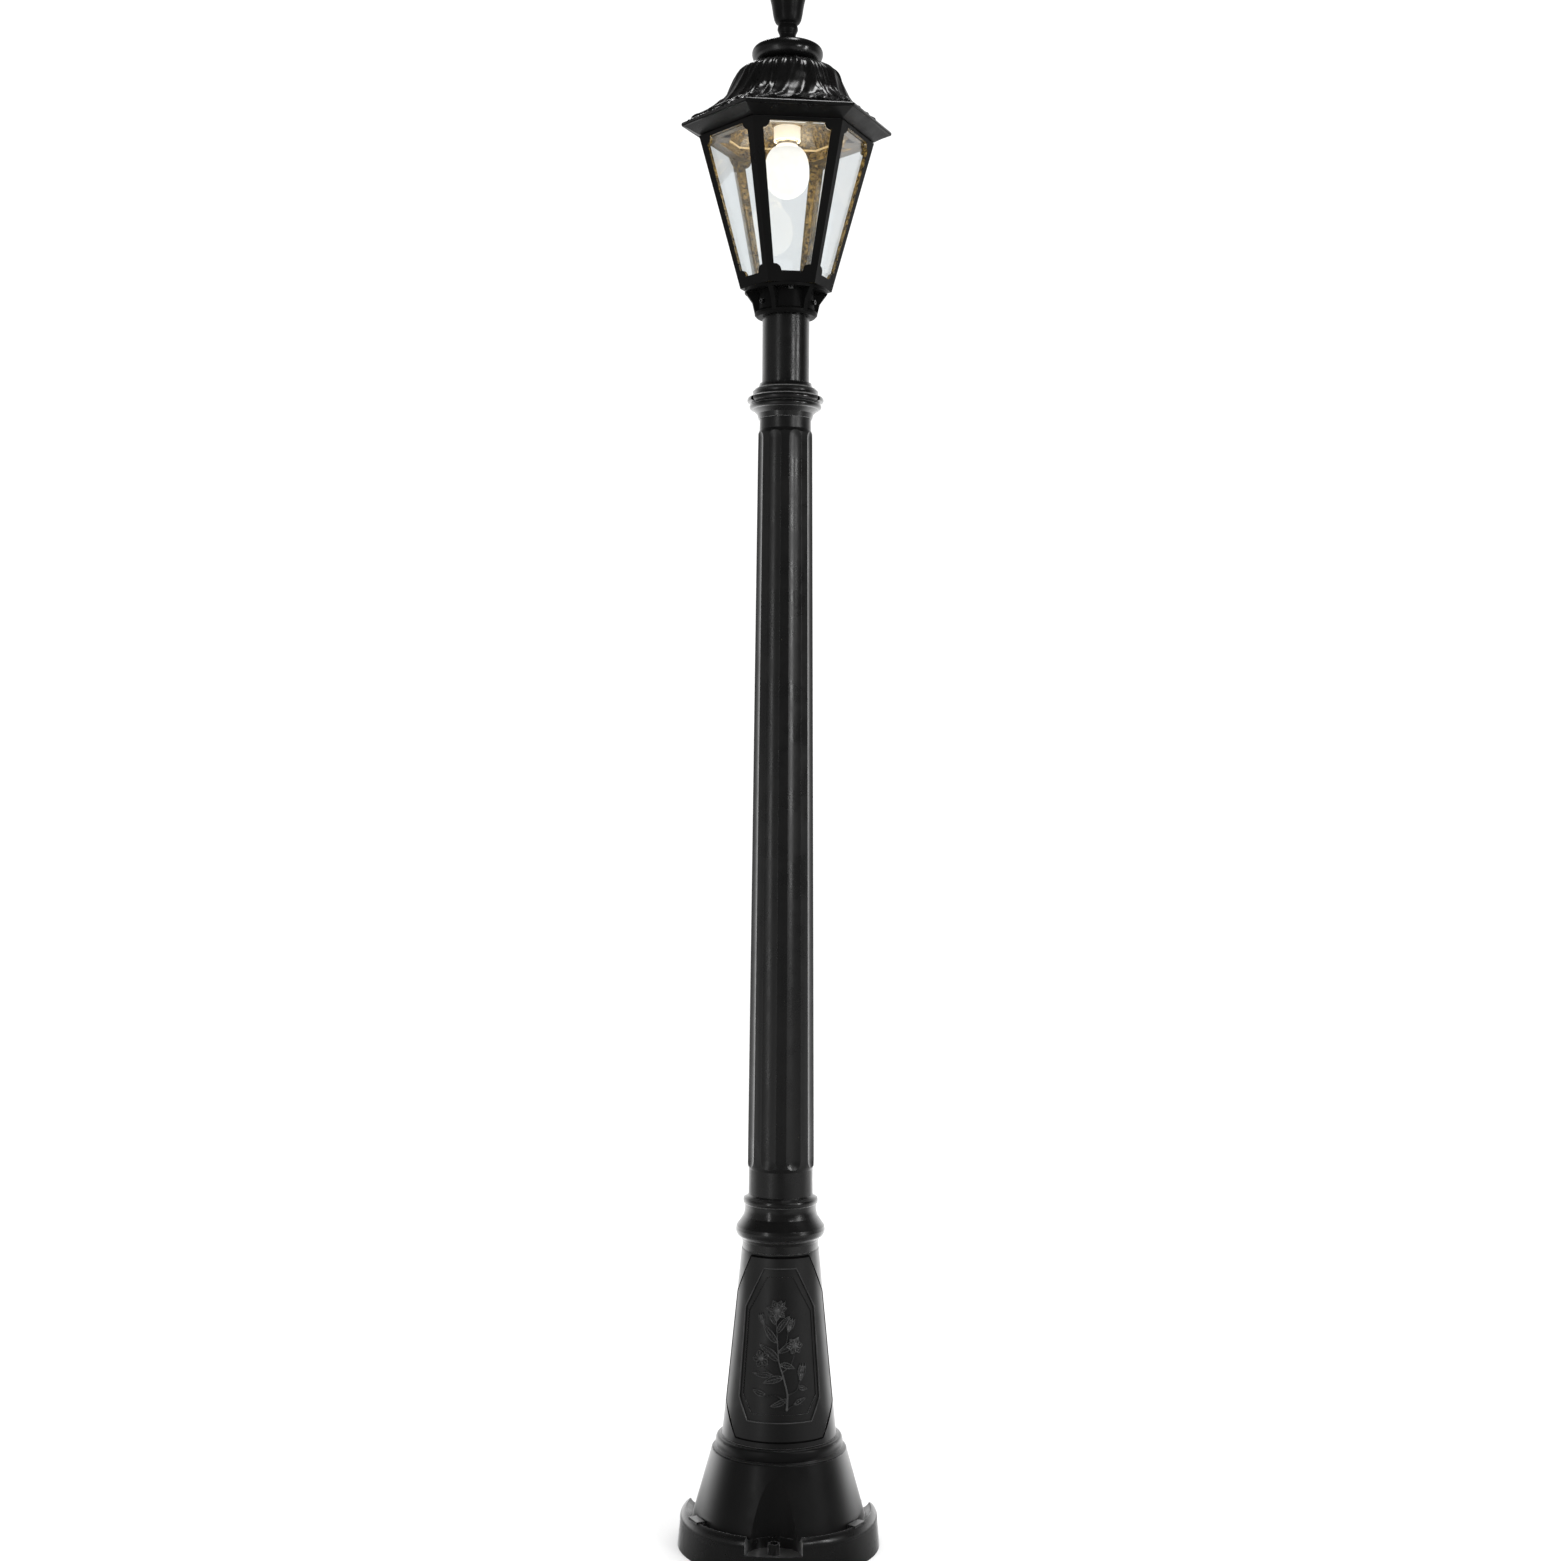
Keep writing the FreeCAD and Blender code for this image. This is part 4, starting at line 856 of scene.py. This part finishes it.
def bloom_shape(across, up, middle, radius, petals, first, height):
    """Height in mm of an open flower: round petals about a seeded middle."""
    found = np.full(across.shape, -1.0)
    for i in range(petals):
        angle = first + 2 * math.pi * i / petals
        way = np.array([math.cos(angle), math.sin(angle)])
        tip = np.array(middle) + way * radius
        foot = np.array(middle) + way * radius * PETAL_FOOT_SHARE
        width = radius * PETAL_WIDTH_SHARE * 5 / petals + PETAL_LEAST
        found = np.maximum(found, leaf_shape(across, up, foot, tip, width, height))
    apart = np.hypot(across - middle[0], up - middle[1])
    eye = radius * EYE_SHARE
    seeds = SEED_H * np.sin(across * SEED_TURN) * np.sin(up * SEED_TURN)
    dome = height * EYE_RISE_SHARE * np.sqrt(np.clip(1 - (apart / eye) ** 2, 0, 1)) + EYE_FOOT + seeds
    return np.where(apart < eye, np.maximum(found, dome), found)


def bud_shape(across, up, foot, tip, width, height):
    """Closed flower: three petals side by side over a small cup."""
    foot = np.array(foot, float)
    tip = np.array(tip, float)
    way = tip - foot
    side = np.array([-way[1], way[0]]) / np.linalg.norm(way)
    spread = side * width * 0.75

    # Each one's foot and tip, its width and height as shares of the bud's, and its bend
    leaves = [(foot, tip + spread, 0.62, 0.8, 0.12), (foot, tip - spread, 0.62, 0.8, -0.12),
              (foot, tip, 0.6, 1.0, 0.0), (foot - way * 0.12, foot + way * 0.42, 0.5, 1.05, 0.0)]
    found = np.full(across.shape, -1.0)
    for start, end, wide, tall, bend in leaves:
        found = np.maximum(found, leaf_shape(across, up, start, end, width * wide, height * tall, bend))
    return found


# The spray: places in mm across the panel and up from the field's foot
SPRAY_STEMS = [
    ([(8, 6), (9, 24), (5, 44), (-1, 66), (-3, 92), (-5, 116)], 1.6, 1.0),
    ([(5, 44), (-9, 49), (-22, 62)], 1.2, 0.8),
    ([(3, 52), (14, 62), (19, 78)], 1.2, 0.8),
    ([(-2, 76), (8, 88), (11, 104)], 1.1, 0.8),
    ([(9, 24), (20, 30), (25, 44)], 1.1, 0.8),
    ([(8, 14), (-4, 24), (-16, 22)], 1.1, 0.7),
    ([(8, 6), (16, 12), (27, 12)], 1.0, 0.7),
]
SPRAY_LEAVES = [
    ((4, 46), (-20, 38), 4.8, 1.9, -0.15), ((-1, 66), (-27, 86), 5.2, 1.9, -0.15),
    ((0, 62), (19, 56), 4.0, 1.8, 0.2), ((-3, 88), (-22, 112), 4.8, 1.9, 0.12),
    ((-2, 76), (26, 96), 4.6, 1.8, -0.15), ((-4, 100), (14, 122), 4.4, 1.8, 0.15),
    ((-5, 110), (-19, 132), 4.2, 1.8, -0.15), ((9, 20), (-12, 10), 3.8, 1.7, 0.2),
    ((-16, 24), (-33, 30), 3.8, 1.6, 0.15), ((22, 34), (34, 30), 3.4, 1.6, -0.15),
    ((-9, 49), (-34, 50), 4.0, 1.7, 0.12), ((-5, 116), (8, 140), 3.8, 1.7, 0.1),
    ((16, 12), (32, 20), 3.2, 1.5, 0.15),
]
SPRAY_BLOOMS = [((-4, 128), 14.0, 7, 0.2, 2.2), ((-23, 68), 11.5, 5, 0.6, 2.1),
                ((19, 84), 11.0, 6, 0.1, 2.1)]
SPRAY_BUDS = [((11, 103), (17, 119), 5.0, 2.0), ((25, 43), (29, 62), 4.8, 2.0),
              ((-22, 111), (-27, 124), 4.2, 1.8)]


def spray_height(across, up):
    found = np.full(across.shape, -1.0)
    for points, foot_r, tip_r in SPRAY_STEMS:
        found = np.maximum(found, stem_shape(across, up, points, foot_r, tip_r))
    for foot, tip, width, height, bend in SPRAY_LEAVES:
        found = np.maximum(found, leaf_shape(across, up, foot, tip, width, height, bend))
    for foot, tip, width, height in SPRAY_BUDS:
        found = np.maximum(found, bud_shape(across, up, foot, tip, width, height))
    for middle, radius, petals, first, height in SPRAY_BLOOMS:
        found = np.maximum(found, bloom_shape(across, up, middle, radius, petals, first, height))
    return found


def make_relief(name, turn):
    low_z = PEDESTAL_FOOT_Z + FIELD_SHARES[0][1] * PEDESTAL_H
    height = (FIELD_SHARES[-1][1] - FIELD_SHARES[0][1]) * PEDESTAL_H
    half = PEDESTAL_FOOT_R * FIELD_SHARES[1][0] * math.pi / 2
    columns = np.arange(-half, half, RELIEF_STEP)
    rows = np.arange(0, height, RELIEF_STEP)
    across, up = np.meshgrid(columns / MM, rows / MM)
    heights = spray_height(across, up)
    keep = heights > 0
    z = low_z + up * MM
    share = (z - PEDESTAL_FOOT_Z) / PEDESTAL_H
    ground = PEDESTAL_FOOT_R + (PEDESTAL_TOP_R - PEDESTAL_FOOT_R) * share + FIELD_PROUD
    mean_r = (PEDESTAL_FOOT_R + PEDESTAL_TOP_R) / 2
    angle = across * MM / mean_r + turn - math.pi / 2
    radius = ground + np.where(keep, heights * MM * RELIEF_GAIN, -RELIEF_SUNK)
    points = np.stack([radius * np.cos(angle), radius * np.sin(angle), z], axis=-1)
    row_count, column_count = keep.shape
    index = np.arange(row_count * column_count).reshape(row_count, column_count)
    corner_kept = keep[:-1, :-1] | keep[1:, :-1] | keep[:-1, 1:] | keep[1:, 1:]
    quads = np.stack([index[:-1, :-1], index[:-1, 1:], index[1:, 1:], index[1:, :-1]], axis=-1)[corner_kept]
    used = np.unique(quads)
    renumber = np.full(index.size, -1)
    renumber[used] = np.arange(len(used))
    mesh = bpy.data.meshes.new(name)
    mesh.from_pydata(points.reshape(-1, 3)[used].tolist(), [], renumber[quads].tolist())
    for polygon in mesh.polygons:
        polygon.use_smooth = True
    wear_highlight = smoothstep(0.25, 0.72, heights / RELIEF_PEAK).ravel()[used]
    mesh.attributes.new(RELIEF_WEAR_HIGHLIGHT, "FLOAT", "POINT").data.foreach_set("value", wear_highlight)
    piece = new_piece(name, mesh, "post", RELIEF_PAINT)
    backing = piece.modifiers.new("backing", "SOLIDIFY")
    backing.thickness = RELIEF_SUNK
    backing.offset = -1


def panel_line(shares, steps):
    """Points along a panel's outline, each with its angle from the front and its height."""
    corners = [(-share, height) for share, height in shares]
    corners = corners + [(share, height) for share, height in shares[::-1]]
    line = []
    for i in range(len(corners)):
        a, b = np.array(corners[i]), np.array(corners[(i + 1) % len(corners)])
        for step in range(steps):
            line.append(a + (b - a) * step / steps)
    return np.array(line)


def make_line(name, turn, shares, ground, width, proud, sunk, material):
    """A thin raised line along a panel's outline."""
    line = panel_line(shares, LINE_STEPS)
    height = line[:, 1]
    z = PEDESTAL_FOOT_Z + height * PEDESTAL_H
    cone = PEDESTAL_FOOT_R + (PEDESTAL_TOP_R - PEDESTAL_FOOT_R) * height
    flat = np.column_stack([line[:, 0] * math.pi / 2 * PEDESTAL_FOOT_R, z])
    ahead = np.roll(flat, -1, axis=0) - flat
    behind = flat - np.roll(flat, 1, axis=0)
    ahead = ahead / np.linalg.norm(ahead, axis=1)[:, None]
    behind = behind / np.linalg.norm(behind, axis=1)[:, None]
    way = ahead + behind
    way = way / np.linalg.norm(way, axis=1)[:, None]
    side = np.column_stack([-way[:, 1], way[:, 0]])
    left, right = LINE_PROFILE[0][0], LINE_PROFILE[-1][0]
    profile = [(across, proud * share) for across, share in LINE_PROFILE]
    rings = []
    for across, out in [(left, -sunk)] + profile + [(right, -sunk)]:
        place = flat + side * across * width
        angle = place[:, 0] / PEDESTAL_FOOT_R + turn - math.pi / 2
        radius = cone + ground + out
        rings.append(np.column_stack([radius * np.cos(angle), radius * np.sin(angle), place[:, 1]]))
    mesh = rings_mesh(name, rings, True, TURNED_SHARP)
    wear_highlight = np.full(len(mesh.vertices), LINE_WEAR_HIGHLIGHT)
    mesh.attributes.new(RELIEF_WEAR_HIGHLIGHT, "FLOAT", "POINT").data.foreach_set("value", wear_highlight)
    new_piece(name, mesh, "post", material)


# A panel's two lines: the outer one stands on the pedestal's cone and is painted shade, the inner one on the
# panel
PANEL_LINES = {
    "outer_line_": dict(shares=OUTER_SHARES, ground=0.0, width=0.0028, proud=PANEL_PROUD + 0.0005,
                        sunk=0.0004, material=SHADE_LINE),
    "inner_line_": dict(shares=INNER_SHARES, ground=PANEL_PROUD, width=0.0014, proud=0.0009,
                        sunk=0.0006, material=RELIEF_PAINT),
}


def make_panels():
    turns = {"front": 0.0, "back": math.pi}
    for side, turn in turns.items():
        make_relief("relief_" + side, turn)
    for side, turn in turns.items():
        for name, line in PANEL_LINES.items():
            make_line(name + side, turn, **line)


# Studio


def make_lights():
    for name, (place, target, width, height, watts) in LIGHTS.items():
        data = bpy.data.lights.new(name, "AREA")
        data.shape = "RECTANGLE"
        data.size = width
        data.size_y = height
        data.energy = watts
        light = bpy.data.objects.new(name, data)
        bpy.context.scene.collection.objects.link(light)
        light.location = place
        light.rotation_euler = (Vector(target) - Vector(place)).to_track_quat("-Z", "Y").to_euler()


def make_world():
    """White for the camera and glass; to gloss it is brightest behind the post and dim in front."""
    world = bpy.data.worlds.new("studio")
    bpy.context.scene.world = world
    world.use_nodes = True
    world.cycles.sampling_method = "NONE"
    sky = Nodes(world.node_tree)
    out = sky.add("OutputWorld")
    path = sky.add("LightPath")
    x, y, z = sky.split(sky.add("TexCoord").outputs["Generated"])
    behind = sky.span(y, 0.05, 0.8, to_low=GLOSS_FRONT, to_high=GLOSS_BACK)
    left = sky.span(x, 0.3, -0.8, to_high=GLOSS_LEFT)
    low_down = sky.span(z, 0.25, 0.60, to_low=1.0, to_high=GLOSS_OVERHEAD)
    glossy = sky.times(sky.math("MINIMUM", sky.math("ADD", behind, left), 1.0), low_down)
    white = sky.math("MAXIMUM", path.outputs["Is Camera Ray"], path.outputs["Is Transmission Ray"])
    glossy_part = sky.times(path.outputs["Is Glossy Ray"], glossy)
    rest = sky.times(sky.math("SUBTRACT", 1.0, path.outputs["Is Glossy Ray"]), WORLD_FILL)
    strength = sky.math("MAXIMUM", white, sky.math("ADD", glossy_part, rest))
    light = sky.add("Background")
    light.inputs["Color"].default_value = (1, 1, 1, 1)
    sky.wire(strength, light.inputs["Strength"])
    sky.wire(light.outputs["Background"], out.inputs["Surface"])


def floor_look():
    """Near white; to gloss it is dim near the post and bright behind it."""
    paint = Painter("floor")
    path = paint.add("LightPath")
    white = paint.mix(paint.noise(scale=3), grey(0.95), grey(0.97))
    x, y, _ = paint.place()
    sideways = paint.span(paint.math("ABSOLUTE", x), 0.15, 1.1, to_low=FLOOR_NEAR, to_high=FLOOR_SIDE)
    behind = paint.span(y, 0.05, 0.8, to_low=FLOOR_NEAR, to_high=FLOOR_BACK)
    mirrored = paint.mix(paint.math("MAXIMUM", sideways, behind), grey(0.0), grey(1.0))
    paint.colour(paint.mix(path.outputs["Is Glossy Ray"], white, mirrored))
    paint.gloss(0.7)
    paint.set(Specular_IOR_Level=0.0)
    return paint.material


def make_floor():
    mesh = bpy.data.meshes.new("floor")
    disc = bmesh.new()
    bmesh.ops.create_circle(disc, cap_ends=True, segments=96, radius=FLOOR_R)
    disc.to_mesh(mesh)
    disc.free()
    mesh.materials.append(floor_look())
    floor = bpy.data.objects.new("floor", mesh)
    bpy.context.scene.collection.objects.link(floor)
    floor.location = (0, 0, -FLOOR_SINK)


def make_camera():
    data = bpy.data.cameras.new("camera")
    data.sensor_width = SENSOR_WIDTH
    data.lens = LENS
    camera = bpy.data.objects.new("camera", data)
    camera.location = CAMERA_PLACE
    camera.rotation_euler = (math.pi / 2, -CAMERA_ROLL, 0)
    bpy.context.scene.collection.objects.link(camera)
    bpy.context.scene.camera = camera


bpy.context.scene.view_settings.view_transform = "Standard"
dress_cad_nodes()
make_roof()
make_cap()
make_finial()
make_panels()
make_world()
make_floor()
make_lights()
make_camera()
